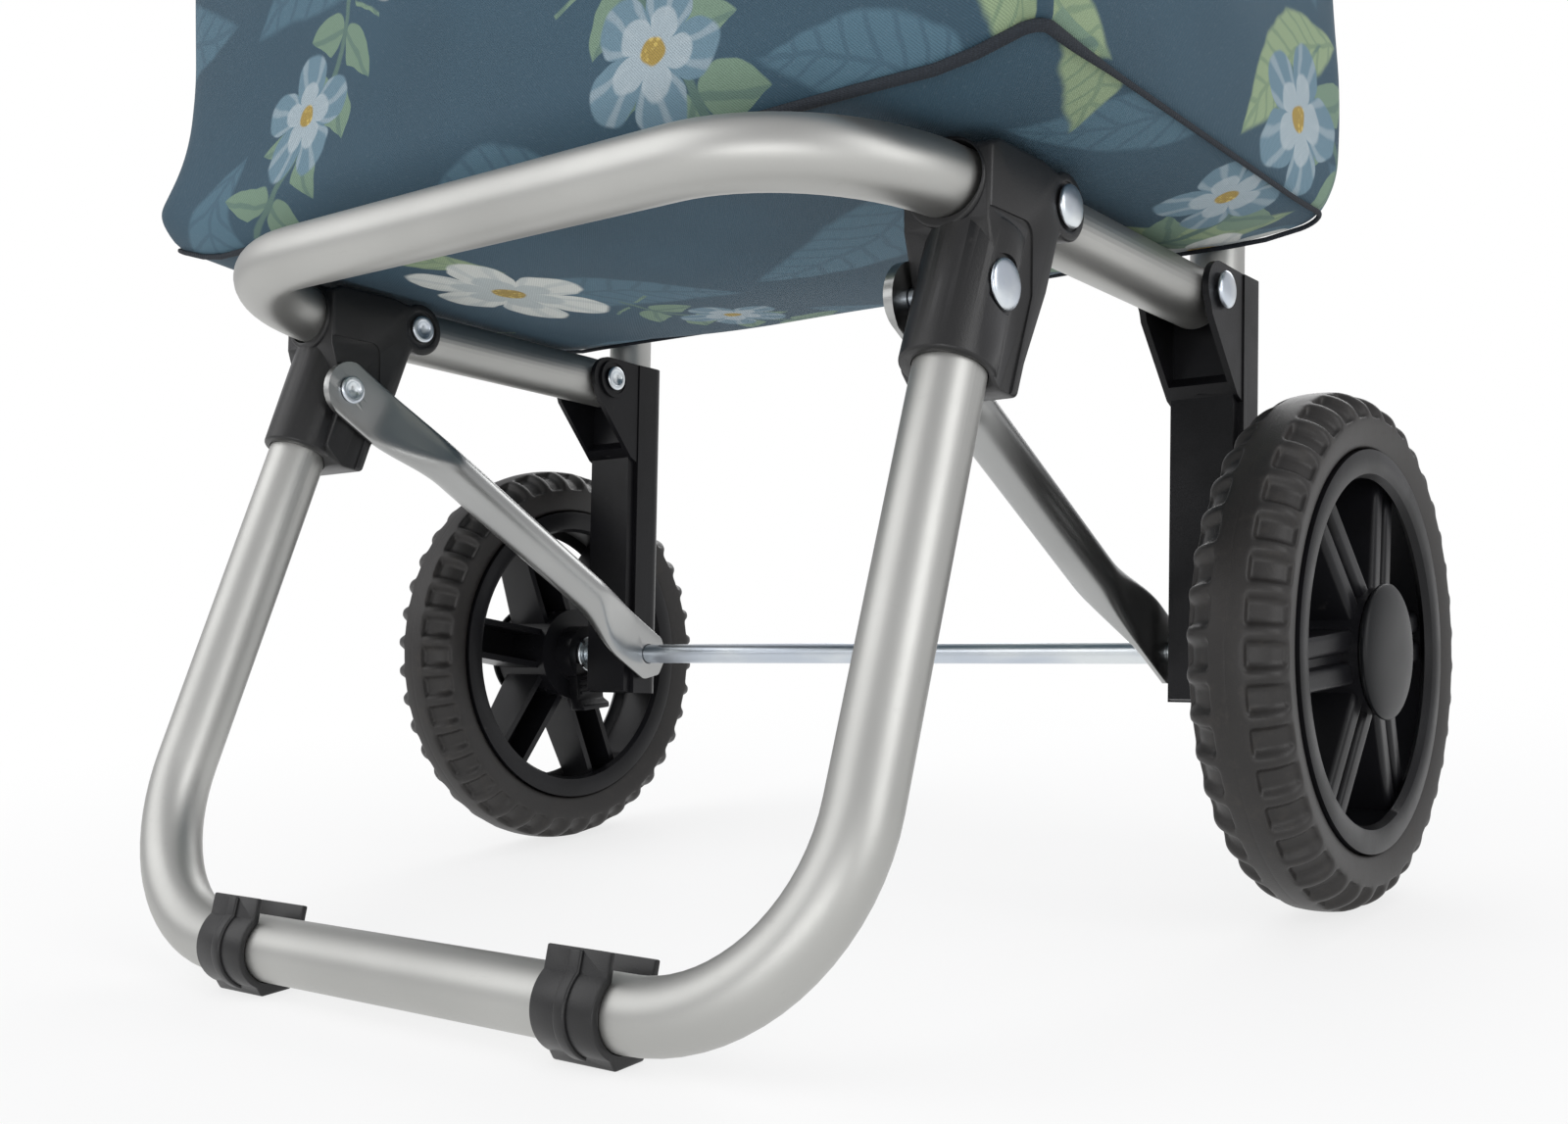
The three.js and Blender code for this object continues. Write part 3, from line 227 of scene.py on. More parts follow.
class Bench:
    """Models pieces by hand: primitives, edit-mode operators and applied modifiers."""

    @staticmethod
    def clear() -> None:
        """Leaves edit mode and deselects everything."""
        if bpy.context.object and bpy.context.object.mode != "OBJECT":
            bpy.ops.object.mode_set(mode="OBJECT")
        bpy.ops.object.select_all(action="DESELECT")

    @classmethod
    def take(cls, piece: Piece) -> None:
        """Makes a piece the only one selected."""
        cls.clear()
        piece.select_set(True)
        bpy.context.view_layer.objects.active = piece

    @classmethod
    @contextmanager
    def editing(cls, piece: Piece, select: str = "SELECT") -> Iterator[None]:
        """Has a piece in edit mode, by its vertices, and leaves it closed.

        Args:
            piece: The piece, open already or not.
            select: What is done to its selection first, as select_all names it.

        Returns:
            A context that closes it.
        """
        if piece.mode != "EDIT":
            cls.take(piece)
            bpy.ops.object.mode_set(mode="EDIT")
        bpy.ops.mesh.select_mode(type="VERT")
        bpy.ops.mesh.select_all(action=select)
        yield
        bpy.ops.object.mode_set(mode="OBJECT")

    @staticmethod
    def place() -> Piece:
        """Puts the active piece's size and place into its mesh."""
        bpy.ops.object.transform_apply(location=True, rotation=True, scale=True)
        return bpy.context.object

    @classmethod
    def seal(cls, piece: Piece, merge: float = 0.002) -> Piece:
        """Merges a piece's doubles and points its faces out.

        Args:
            piece: The piece.
            merge: How near doubles lie.

        Returns:
            The same piece.
        """
        with cls.editing(piece):
            bpy.ops.mesh.remove_doubles(threshold=merge)
            bpy.ops.mesh.normals_make_consistent(inside=False)
        return cls.place()

    @classmethod
    def wire(cls, points: Sequence[Point]) -> Piece:
        """Draws an open line, vertex by vertex, and leaves it open in edit mode.

        Args:
            points: Its corners.

        Returns:
            The new object.
        """
        cls.clear()
        bpy.ops.mesh.primitive_plane_add(size=1, location=points[0])
        piece = bpy.context.object
        bpy.ops.object.mode_set(mode="EDIT")
        bpy.ops.mesh.select_mode(type="VERT")
        bpy.ops.mesh.select_all(action="SELECT")
        bpy.ops.mesh.merge(type="CENTER")
        for before, after in zip(points, points[1:]):
            step = Vector(after) - Vector(before)
            bpy.ops.mesh.extrude_vertices_move(TRANSFORM_OT_translate={"value": step})
        bpy.ops.mesh.select_all(action="SELECT")
        return piece

    @classmethod
    def plate(cls, points: Sequence[Point], pull: Point) -> Piece:
        """Fills an outline and pulls it into a solid plate.

        Args:
            points: The outline's corners, in order.
            pull: The way and distance it is pulled.

        Returns:
            The plate.
        """
        piece = cls.wire(points)
        bpy.ops.mesh.edge_face_add()
        cls.push(Vector(pull), "extrude_region_move")
        return cls.seal(piece)

    @staticmethod
    def push(step: Vector, tool: str) -> None:
        """Extrudes what is selected by a step, with the edge or the region tool."""
        getattr(bpy.ops.mesh, tool)(TRANSFORM_OT_translate={"value": step})

    @classmethod
    def side_plate(cls, outline: Sequence[Point], from_x: float, to_x: float) -> Piece:
        """A plate between two x, with its outline as (forward, up)."""
        return cls.plate([at(from_x, p) for p in outline], (to_x - from_x, 0, 0))

    @classmethod
    def turned(cls, profile: Sequence[Point], steps: int = 48) -> Piece:
        """Spins a profile about the x axis into a closed solid.

        Args:
            profile: Corners as (radius, x). It starts and ends on the axis, or closes on itself.
            steps: Steps of the whole turn.

        Returns:
            The solid.
        """
        piece = cls.wire([(x, 0, radius) for radius, x in profile])
        bpy.ops.mesh.spin(steps=steps, angle=TURN, center=(0, 0, 0), axis=(1, 0, 0), use_auto_merge=True)
        return cls.seal(piece)

    @classmethod
    def bar(cls, radius: float, start: Point, end: Point, sides: int = 40) -> Piece:
        """A round bar between two points.

        Args:
            radius: Its radius.
            start: Middle of one end.
            end: Middle of the other.
            sides: Faces round it.

        Returns:
            The bar.
        """
        cls.clear()
        run = Vector(end) - Vector(start)
        turn = run.to_track_quat("Z", "Y").to_euler()
        middle = (Vector(start) + Vector(end)) / 2
        bpy.ops.mesh.primitive_cylinder_add(
            vertices=sides, radius=radius, depth=run.length, location=middle, rotation=turn
        )
        return cls.place()

    @classmethod
    def pin(cls, radius: float, from_x: float, to_x: float, point: Point, sides: int = 40) -> Piece:
        """A round bar along x, between two x, through a side-view point."""
        return cls.bar(radius, at(from_x, point), at(to_x, point), sides)

    @classmethod
    def tube(cls, corners: Sequence[Vector], bends: Sequence[float], radius: float, wall: float) -> Piece:
        """Bends a hollow tube: straight runs are extruded, bends are spun.

        Args:
            corners: Where the runs would meet.
            bends: The bend radius at each inner corner.
            radius: Outer radius.
            wall: Wall thickness.

        Returns:
            The tube.
        """
        sides, step = 40, 5.0
        runs = [(b - a).normalized() for a, b in zip(corners, corners[1:])]
        cls.clear()
        bpy.ops.mesh.primitive_circle_add(
            vertices=sides, radius=radius, location=corners[0],
            rotation=runs[0].to_track_quat("Z", "Y").to_euler(),
        )
        piece = cls.place()
        with cls.editing(piece):
            here = corners[0].copy()
            for corner, bend, run, following in zip(corners[1:-1], bends, runs, runs[1:]):
                angle = run.angle(following)
                setback = bend * math.tan(angle / 2)
                start = corner - run * setback
                cls.push(start - here, "extrude_edges_move")
                axis = run.cross(following).normalized()
                bpy.ops.mesh.spin(
                    steps=max(2, round(math.degrees(angle) / step)), angle=-angle,
                    center=start + axis.cross(run) * bend, axis=axis,
                )
                here = corner + following * setback
            cls.push(corners[-1] - here, "extrude_edges_move")
        return cls.modify(cls.seal(piece), "SOLIDIFY", thickness=wall, offset=-1)

    @classmethod
    def modify(cls, piece: Piece, kind: str, **settings: object) -> Piece:
        """Adds a modifier and applies it.

        Args:
            piece: The piece.
            kind: The modifier's type.
            **settings: Its settings.

        Returns:
            The same piece.
        """
        cls.take(piece)
        modifier = piece.modifiers.new(kind.title(), kind)
        for name, value in settings.items():
            setattr(modifier, name, value)
        bpy.ops.object.modifier_apply(modifier=modifier.name)
        return piece

    @classmethod
    def bevel(cls, piece: Piece, width: float, segments: int = 3, angle: float = 35) -> Piece:
        """Rounds a piece's edges.

        Args:
            piece: The piece.
            width: How far the rounding reaches.
            segments: Its steps.
            angle: Edges sharper than this are rounded, in degrees.

        Returns:
            The same piece.
        """
        return cls.modify(
            piece, "BEVEL", width=width, segments=segments, limit_method="ANGLE",
            angle_limit=math.radians(angle), harden_normals=False, miter_outer="MITER_ARC",
        )

    @classmethod
    def smooth(cls, piece: Piece) -> Piece:
        """Subdivides a piece's surface once."""
        return cls.modify(piece, "SUBSURF", levels=1, render_levels=1)

    @classmethod
    def thicken(cls, piece: Piece, wall: float, offset: float = -1) -> Piece:
        """Gives a skin its thickness, inwards unless told otherwise, and smooths it."""
        return cls.smooth(cls.modify(piece, "SOLIDIFY", thickness=wall, offset=offset))

    @classmethod
    def combine(cls, piece: Piece, *others: Piece, operation: str = "UNION") -> Piece:
        """Joins solids into the first, which becomes one skin.

        Args:
            piece: The first solid.
            *others: Solids that are used up.
            operation: How they are joined.

        Returns:
            The first solid.
        """
        for other in others:
            cls.modify(piece, "BOOLEAN", operation=operation, object=other, solver="EXACT")
            cls.discard(other)
        return piece

    @classmethod
    def cut(cls, piece: Piece, *others: Piece) -> Piece:
        """Cuts solids, which are used up, out of the first."""
        return cls.combine(piece, *others, operation="DIFFERENCE")

    @classmethod
    def drill(cls, piece: Piece, radius: float, from_x: float, to_x: float, *points: Point) -> Piece:
        """Drills holes along x, between two x, through side-view points."""
        return cls.cut(piece, *(cls.pin(radius, from_x, to_x, point) for point in points))

    @staticmethod
    def discard(piece: Piece) -> None:
        """Removes a piece and its mesh."""
        mesh = piece.data
        bpy.data.objects.remove(piece)
        bpy.data.meshes.remove(mesh)

    @classmethod
    def copy(cls, piece: Piece) -> Piece:
        """A copy of a piece, with its own mesh."""
        cls.take(piece)
        bpy.ops.object.duplicate()
        return bpy.context.object

    @staticmethod
    def shift(piece: Piece, *move: float) -> Piece:
        """Moves a piece's mesh."""
        piece.data.transform(Matrix.Translation(move))
        return piece

    @classmethod
    def skin(cls, rings: Sequence[Sequence[Point]], capped: bool = False) -> Piece:
        """A skin over closed rings of points.

        Args:
            rings: Rings with equal counts of points.
            capped: Whether the first and last rings are filled.

        Returns:
            The skin.
        """
        cls.clear()
        count = len(rings[0])
        starts = range(0, len(rings) * count, count)
        faces = [
            (a + i, a + (i + 1) % count, b + (i + 1) % count, b + i)
            for a, b in zip(starts, starts[1:]) for i in range(count)
        ]
        if capped:
            faces.append(tuple(range(count))[::-1])
            faces.append(tuple(range(starts[-1], starts[-1] + count)))
        mesh = bpy.data.meshes.new("skin")
        mesh.from_pydata([tuple(p) for ring in rings for p in ring], [], faces)
        mesh.validate()
        piece = bpy.data.objects.new("skin", mesh)
        bpy.context.scene.collection.objects.link(piece)
        return piece

    @classmethod
    def settle(
        cls, piece: Piece, name: str, node: str, where: Matrix, finish: "Finish", crease: float = 32
    ) -> None:
        """Carries a piece into the frame, names it, dresses it and seats it on a node's body.

        Args:
            piece: The modelled piece, in millimetres.
            name: Its name.
            node: The CAD node whose body it rides on.
            where: Carries it to the frame.
            finish: Its material.
            crease: Edges sharper than this stay sharp, in degrees.
        """
        piece.data.transform(where @ piece.matrix_world)
        if where.determinant() < 0:
            piece.data.flip_normals()
        piece.matrix_world = Matrix.Identity(4)
        cls.take(piece)
        bpy.ops.object.shade_smooth_by_angle(angle=math.radians(crease))
        piece.name = piece.data.name = name
        piece.data.materials.clear()
        piece.data.materials.append(finish.material())
        body = frame["nodes"][node]["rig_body"]
        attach(piece, body)
        LOG.info("%s: %d faces on %s", name, len(piece.data.polygons), body)

    @classmethod
    def set_down(
        cls, piece: Piece, node: str, finish: "Finish", where: Matrix | None = None, crease: float = 32
    ) -> None:
        """Settles a piece in place of the CAD node that it stands for.

        Args:
            piece: The modelled piece, in millimetres.
            node: The CAD node.
            finish: Its material.
            where: Carries it to the frame, from the leaning chassis unless given.
            crease: Edges sharper than this stay sharp, in degrees.
        """
        cls.settle(piece, f"{node}_made", node, where or LAYOUT.chassis(), finish, crease)
        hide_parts(node)

    @classmethod
    def set_down_pair(
        cls, piece: Piece, node: str, finish: "Finish", where: Matrix | None = None, crease: float = 32
    ) -> None:
        """Sets down a right piece, and its mirror image on the left.

        Args:
            piece: The right piece.
            node: The CAD nodes' name without its side.
            finish: Their material.
            where: Carries them to the frame, from the leaning chassis unless given.
            crease: Edges sharper than this stay sharp, in degrees.
        """
        for side, part in zip(Side, (piece, cls.copy(piece))):
            facing = (where or LAYOUT.chassis()) @ side.facing
            cls.set_down(part, f"{node}_{side.name.lower()}", finish, facing, crease)


# ---------------------------------------------------------------------------- shader maths


def operator(operation: str, swap: bool = False) -> Callable[..., "Sock"]:
    """A method that puts a value, and another if it takes one, through a Math node.

    Args:
        operation: The node's operation.
        swap: Whether the other value comes first.

    Returns:
        The method.
    """

    def apply(value: "Sock", *other: "Sock | float") -> "Sock":
        """Adds the Math node."""
        return value.maker.math(operation, *((*other, value) if swap else (value, *other)))

    return apply


class Sock:
    """A shader value that adds, multiplies and compares like a number."""

    __add__ = __radd__ = operator("ADD")
    __sub__, __rsub__ = operator("SUBTRACT"), operator("SUBTRACT", True)
    __mul__ = __rmul__ = operator("MULTIPLY")
    __truediv__, __rtruediv__ = operator("DIVIDE"), operator("DIVIDE", True)
    __pow__ = operator("POWER")
    sin, cos, root = operator("SINE"), operator("COSINE"), operator("SQRT")
    absolute, floor, most = operator("ABSOLUTE"), operator("FLOOR"), operator("MAXIMUM")

    def __init__(self, maker: "NodeMaker", socket: bpy.types.NodeSocket) -> None:
        """Holds an output socket and the maker that owns it."""
        self.maker = maker
        self.socket = socket

    def over(self, low: float, high: float) -> "Sock":
        """Rises smoothly from 0 at low to 1 at high."""
        settings = {"interpolation_type": "SMOOTHSTEP"}
        return self.maker.node("MapRange", settings, Value=self, From_Min=low, From_Max=high)

    def under(self, low: float, high: float) -> "Sock":
        """Falls smoothly from 1 at low to 0 at high."""
        return 1.0 - self.over(low, high)


class NodeMaker:
    """Makes the nodes of one material or world."""

    def __init__(self, owner: bpy.types.Material | bpy.types.World) -> None:
        """Starts with no nodes.

        Args:
            owner: The material or world.
        """
        owner.use_nodes = True
        self.owner = owner
        self.tree = owner.node_tree
        self.tree.nodes.clear()

    def node(
        self, kind: str, settings: dict | None = None, out: int | str = 0, **inputs: Sock | float | tuple
    ) -> Sock | None:
        """Makes a node, then its settings, then its sockets.

        Args:
            kind: The node's type, without ShaderNode.
            settings: Its settings.
            out: Which output is used.
            **inputs: Values or links by socket name, underscores for spaces, or by number as n0.

        Returns:
            The chosen output, if there is one.
        """
        made = self.tree.nodes.new(f"ShaderNode{kind}")
        for name, value in (settings or {}).items():
            setattr(made, name, value)
        for name, value in inputs.items():
            numbered = name[0] == "n" and name[1:].isdigit()
            socket = made.inputs[int(name[1:]) if numbered else name.replace("_", " ")]
            if isinstance(value, Sock):
                self.tree.links.new(value.socket, socket)
            else:
                socket.default_value = value
        return Sock(self, made.outputs[out]) if made.outputs else None

    def math(self, operation: str, *values: Sock | float) -> Sock:
        """A Math node."""
        return self.node("Math", {"operation": operation}, **{f"n{i}": v for i, v in enumerate(values)})

    def scaled(self, vector: Sock, factors: tuple) -> Sock:
        """A vector, each part of it multiplied by a factor."""
        return self.node("VectorMath", {"operation": "MULTIPLY"}, n0=vector, n1=factors)

    def place(self) -> Sock:
        """Object coordinates, in metres."""
        return self.node("TexCoord", out="Object")

    def split(self, vector: Sock) -> tuple:
        """The three parts of a vector."""
        made = self.node("SeparateXYZ", Vector=vector)
        return tuple(Sock(self, output) for output in made.socket.node.outputs)

    def noise(self, vector: Sock, scale: float, detail: float = 3.0, rough: float = 0.5) -> Sock:
        """Smooth noise between 0 and 1."""
        return self.node("TexNoise", Vector=vector, Scale=scale, Detail=detail, Roughness=rough)

    def grains(self, vector: Sock, scale: float) -> Sock:
        """Distance to the nearest of scattered points."""
        return self.node("TexVoronoi", Vector=vector, Scale=scale)

    def pointed(self, low: float, high: float) -> Sock:
        """Where the surface is pointed, as edges are."""
        return self.node("NewGeometry", out="Pointiness").over(low, high)

    def mix(self, share: Sock | float, *tones: Sock | tuple) -> Sock:
        """A colour between two.

        Args:
            share: How much of the second shows.
            *tones: The two: a display colour, four linear values or a socket each.

        Returns:
            The colour.
        """
        first, second = (
            colour(tone) if isinstance(tone, tuple) and len(tone) == 3 else tone for tone in tones
        )
        return self.node("Mix", {"data_type": "RGBA"}, 2, n0=share, n6=first, n7=second)

    def bump(self, height: Sock, distance: float, strength: float) -> Sock:
        """A surface disturbed by a height."""
        return self.node("Bump", Height=height, Distance=distance, Strength=strength)

    def surface(self, **inputs: Sock | float) -> bpy.types.Material:
        """Ends the material in a Principled shader with these sockets."""
        return self.end(self.node("BsdfPrincipled", **inputs), "Material")

    def end(self, shader: Sock, kind: str) -> bpy.types.Material | bpy.types.World:
        """Links a shader to the output of a Material or a World."""
        self.node(f"Output{kind}", Surface=shader)
        return self.owner


def colour(tone: tuple) -> tuple:
    """A display colour of 0 to 255 as the linear colour that shaders use."""
    shares = [value / 255 for value in tone]
    return (*(c / 12.92 if c <= 0.04045 else ((c + 0.055) / 1.055) ** 2.4 for c in shares), 1.0)


def shade(tone: tuple, factor: float) -> tuple:
    """A display colour made darker or paler."""
    return tuple(value * factor for value in tone)


# ---------------------------------------------------------------------------- finishes


@dataclass(frozen=True)
class Finish:
    """A surface finish: one material, made once."""

    name: str
    slot: str
    tint: tuple
    rough: float

    def material(self) -> bpy.types.Material:
        """The finish's material."""
        made = bpy.data.materials.get(self.name)
        return made or self.build(NodeMaker(bpy.data.materials.new(self.name)))

    def build(self, n: NodeMaker) -> bpy.types.Material:
        """Builds the nodes."""
        raise NotImplementedError


@dataclass(frozen=True)
class SatinTube(Finish):
    """Bright steel tube, drawn and lightly brushed, with a thin hard skin."""

    scuff: tuple = (150, 148, 144)

    def build(self, n: NodeMaker) -> bpy.types.Material:
        """Builds the nodes.

        Args:
            n: The node maker.

        Returns:
            The material.
        """
        place = n.place()
        cloud = n.noise(place, 14.0, 2.0)
        brushed = n.noise(n.scaled(place, (1.0, 0.12, 0.12)), 1500.0, 2.0)
        scuffs = n.noise(n.scaled(place, (0.3, 1.0, 1.0)), 260.0, 5.0, 0.7).over(0.6, 0.78)
        tint = n.mix(cloud.over(0.3, 0.7), self.tint, shade(self.tint, 0.95))
        return n.surface(
            Base_Color=n.mix(scuffs * 0.12, tint, self.scuff),
            Metallic=1.0,
            Roughness=self.rough + 0.07 * (cloud - 0.5) + 0.05 * (brushed - 0.5) + 0.07 * scuffs,
            Normal=n.bump(brushed, 0.000006, 0.35),
        )


@dataclass(frozen=True)
class Zinc(Finish):
    """Zinc-plated steel with a faint blue cloud and scuffs."""

    blue: tuple = (198, 206, 216)

    def build(self, n: NodeMaker) -> bpy.types.Material:
        """Builds the nodes.

        Args:
            n: The node maker.

        Returns:
            The material.
        """
        place = n.place()
        cloud = n.noise(n.scaled(place, (0.3, 1.0, 1.0)), 60.0)
        scuffs = n.noise(n.scaled(place, (0.2, 1.0, 1.0)), 420.0, 4.0, 0.6)
        return n.surface(
            Base_Color=n.mix(cloud.over(0.35, 0.65), self.tint, self.blue),
            Metallic=1.0,
            Roughness=self.rough + 0.08 * scuffs.over(0.45, 0.75),
            Normal=n.bump(scuffs, 0.000004, 0.2),
        )


@dataclass(frozen=True)
class MouldedPlastic(Finish):
    """Moulded plastic: fine spark grain, rubbed paler and smoother on its edges."""

    shine: float
    grain: float = 2600.0
    depth: float = 0.00004
    dust: tuple = (150, 146, 140)

    def build(self, n: NodeMaker) -> bpy.types.Material:
        """Builds the nodes.

        Args:
            n: The node maker.

        Returns:
            The material.
        """
        place = n.place()
        cloud = n.noise(place, 35.0)
        grain = n.grains(place, self.grain) + n.noise(place, self.grain * 0.6)
        worn = n.pointed(0.53, 0.6) * cloud.over(0.35, 0.6)
        dust = n.noise(place, 240.0, 5.0, 0.7).over(0.62, 0.8)
        base = n.mix(cloud, self.tint, shade(self.tint, 0.82))
        rubbed = n.mix(worn * 0.5, base, shade(self.tint, 1.7))
        return n.surface(
            Base_Color=n.mix(dust * 0.05, rubbed, self.dust),
            Specular_IOR_Level=self.shine,
            Roughness=self.rough + 0.12 * (cloud - 0.5) + 0.1 * dust - 0.1 * worn,
            Normal=n.bump(grain, self.depth, 0.6),
        )


@dataclass(frozen=True)
class Rubber(Finish):
    """Solid rubber with mould bloom and floor dust."""

    dust: tuple = (112, 104, 94)

    def build(self, n: NodeMaker) -> bpy.types.Material:
        """Builds the nodes.

        Args:
            n: The node maker.

        Returns:
            The material.
        """
        place = n.place()
        bloom = n.noise(place, 30.0, 4.0)
        fine = n.noise(place, 1800.0, 3.0)
        dust = n.noise(place, 160.0, 6.0, 0.75).over(0.5, 0.75)
        base = n.mix(bloom.over(0.3, 0.7), self.tint, shade(self.tint, 1.22))
        return n.surface(
            Base_Color=n.mix(dust * 0.08 + n.pointed(0.52, 0.62) * 0.1, base, self.dust),
            Specular_IOR_Level=0.45,
            Roughness=self.rough + 0.16 * (bloom - 0.5) + 0.08 * dust,
            Normal=n.bump(fine, 0.00008, 0.7),
        )


@dataclass(frozen=True)
class Foam(Finish):
    """Closed-cell foam with a pored skin."""

    bloom: tuple = (60, 59, 58)

    def build(self, n: NodeMaker) -> bpy.types.Material:
        """Builds the nodes.

        Args:
            n: The node maker.

        Returns:
            The material.
        """
        place = n.place()
        pores = n.grains(place, 1300.0)
        tint = n.mix(pores.under(0.1, 0.5) * 0.6, self.tint, shade(self.tint, 0.5))
        return n.surface(
            Base_Color=n.mix(n.noise(place, 60.0, 4.0) * 0.25, tint, self.bloom),
            Roughness=self.rough,
            Normal=n.bump(pores, 0.0003, 0.8),
        )


class Drawing(Enum):
    """What a printed motif shows."""

    LEAF = "leaf"
    SPRIG = "sprig"
    FLOWER = "flower"


@dataclass(frozen=True)
class Motif:
    """One printed motif: where its cells lie, in metres, and how it is drawn."""

    drawing: Drawing
    cell: float
    start: tuple
    size: float
    petals: int
    tone: tuple
    second: tuple
    share: float = 1.0

    def draw(self, n: NodeMaker, u: Sock, v: Sock, paint: Sock) -> Sock:
        """Prints the motif in its scattered cells.

        Args:
            n: The node maker.
            u: Coordinate along the cloth.
            v: Coordinate up the cloth.
            paint: What is printed already.

        Returns:
            The print with the motif.
        """
        across = (u + self.start[0]) / self.cell
        row = (v + self.start[1]) / self.cell
        across = across + 0.5 * (row.floor() - 2.0 * (row.floor() * 0.5).floor())
        cell_u, cell_v = across.floor(), row.floor()
        seed = n.node("CombineXYZ", X=cell_u, Y=cell_v, Z=float(self.petals))
        dice = n.node("TexWhiteNoise", {"noise_dimensions": "3D"}, "Color", Vector=seed)
        first, second, third = n.split(dice)
        x = (across - cell_u - 0.5 - 0.3 * (first - 0.5)) * self.cell
        y = (row - cell_v - 0.5 - 0.3 * (second - 0.5)) * self.cell
        turn = third * TURN
        scale = 1.0 / (0.8 + 0.35 * second)
        a = (x * turn.cos() + y * turn.sin()) * scale
        b = (y * turn.cos() - x * turn.sin()) * scale
        there = first.under(self.share - 0.001, self.share + 0.001)
        return getattr(self, self.drawing.value)(n, a, b, paint, there)

    def flower(self, n: NodeMaker, a: Sock, b: Sock, paint: Sock, there: Sock) -> Sock:
        """A veined flower with a dotted heart.

        Args:
            n: The node maker.
            a: Place along the motif.
            b: Place across it.
            paint: What is printed already.
            there: Where the motif is printed.

        Returns:
            The print with the motif.
        """
        edge = self.size * 0.03
        far = (a * a + b * b).root()
        angle = n.math("ARCTAN2", b, a)
        lobe = (angle * (self.petals / 2)).cos().absolute()
        reach = self.size * (0.5 + 0.5 * lobe ** 0.55)
        petal = (far - reach).under(-edge, edge) * there
        vein = (angle * (self.petals * 2.5)).cos().over(0.3, 0.95) * (far / reach).over(0.25, 0.6)
        inner = (far - reach * 0.56).under(-edge, edge) * there
        paint = n.mix(petal, paint, self.tone)
        paint = n.mix(petal * vein * 0.4, paint, self.second)
        paint = n.mix(inner * 0.7, paint, self.second)
        heart = far.under(self.size * 0.15, self.size * 0.19)
        dots = n.grains(n.node("CombineXYZ", X=a, Y=b), 520.0).over(0.2, 0.5)
        return n.mix(heart * there, paint, n.mix(dots, (200, 176, 92), (158, 134, 62)))

    def sprig(self, n: NodeMaker, a: Sock, b: Sock, paint: Sock, there: Sock) -> Sock:
        """A bent stem with pairs of leaves.

        Args:
            n: The node maker.
            a: Place along the motif.
            b: Place across it.
            paint: What is printed already.
            there: Where the motif is printed.

        Returns:
            The print with the motif.
        """
        size, step = self.size, self.size * 0.42
        bend = b + 0.25 * a * a / size
        stem = bend.absolute().under(size * 0.018, size * 0.04) * a.absolute().under(size * 0.94, size)
        local = a - ((a / step).floor() + 0.5) * step - bend.absolute() * 0.55
        leaf = (local / (step * 0.42)) ** 2.0 + ((bend.absolute() - step * 0.52) / (step * 0.48)) ** 2.0
        leaves = leaf.under(0.86, 1.0) * a.absolute().under(size * 0.86, size * 0.88) * there
        midrib = (local / (step * 0.06)).absolute().under(0.6, 1.2)
        paint = n.mix(leaves, paint, self.tone)
        paint = n.mix(leaves * midrib * 0.7, paint, self.second)
        return n.mix(stem * there, paint, self.second)

    def leaf(self, n: NodeMaker, a: Sock, b: Sock, paint: Sock, there: Sock) -> Sock:
        """A ribbed leaf.

        Args:
            n: The node maker.
            a: Place along the motif.
            b: Place across it.
            paint: What is printed already.
            there: Where the motif is printed.

        Returns:
            The print with the motif.
        """
        size, edge = self.size, self.size * 0.03
        bend = (b + 0.3 * a * a / size - size * 0.1).absolute()
        shape = 1.0 - (a / size) * (a / size)
        leaf = (bend - size * 0.34 * shape).under(-edge, edge) * there
        ribs = ((a + bend * 0.8) * (TURN / (size * 0.2))).sin().over(0.55, 0.98)
        middle = bend.under(size * 0.012, size * 0.03)
        paint = n.mix(leaf, paint, self.tone)
        return n.mix(leaf * ribs.most(middle) * 0.6, paint, self.second)


@dataclass(frozen=True)
class PrintedTwill(Finish):
    """Coated twill printed with flowers and sprigs, seen on the cloth's own coordinates."""

    motifs: tuple
    pitch: float = 0.00085
    shadow: tuple = (28, 38, 48)
    thread: tuple = (170, 182, 190)

    def build(self, n: NodeMaker) -> bpy.types.Material:
        """Builds the nodes.

        Args:
            n: The node maker.

        Returns:
            The material.
        """
        cloth = n.node("UVMap", {"uv_map": "cloth"})
        aside = n.node("VectorMath", {"operation": "ADD"}, n0=cloth, n1=(3.1, 7.7, 0.0))
        u, v, _ = n.split(cloth)
        turn = TURN / self.pitch
        warp = ((u + v) * turn).sin() * 0.5 + 0.5
        weft = ((v * (turn * 2)).sin() * 0.5 + 0.5) * 0.6
        rib = warp.most(weft)
        u = u + 0.006 * (n.noise(cloth, 55.0, 2.0) - 0.5)
        v = v + 0.006 * (n.noise(aside, 55.0, 2.0) - 0.5)
        paint = n.mix(n.noise(cloth, 9.0, 4.0).over(0.3, 0.7), self.tint, shade(self.tint, 0.9))
        for motif in self.motifs:
            paint = motif.draw(n, u, v, paint)
        thread = n.noise(cloth, 900.0, 2.0)
        paint = n.mix(rib.under(0.25, 0.75) * 0.28, paint, self.shadow)
        return n.surface(
            Base_Color=n.mix(thread.over(0.55, 0.75) * 0.05, paint, self.thread),
            Roughness=self.rough + 0.1 * (thread - 0.5),
            Sheen_Weight=0.03,
            Sheen_Roughness=0.4,
            Normal=n.bump(rib + 0.3 * thread, 0.00016, 0.7),
        )


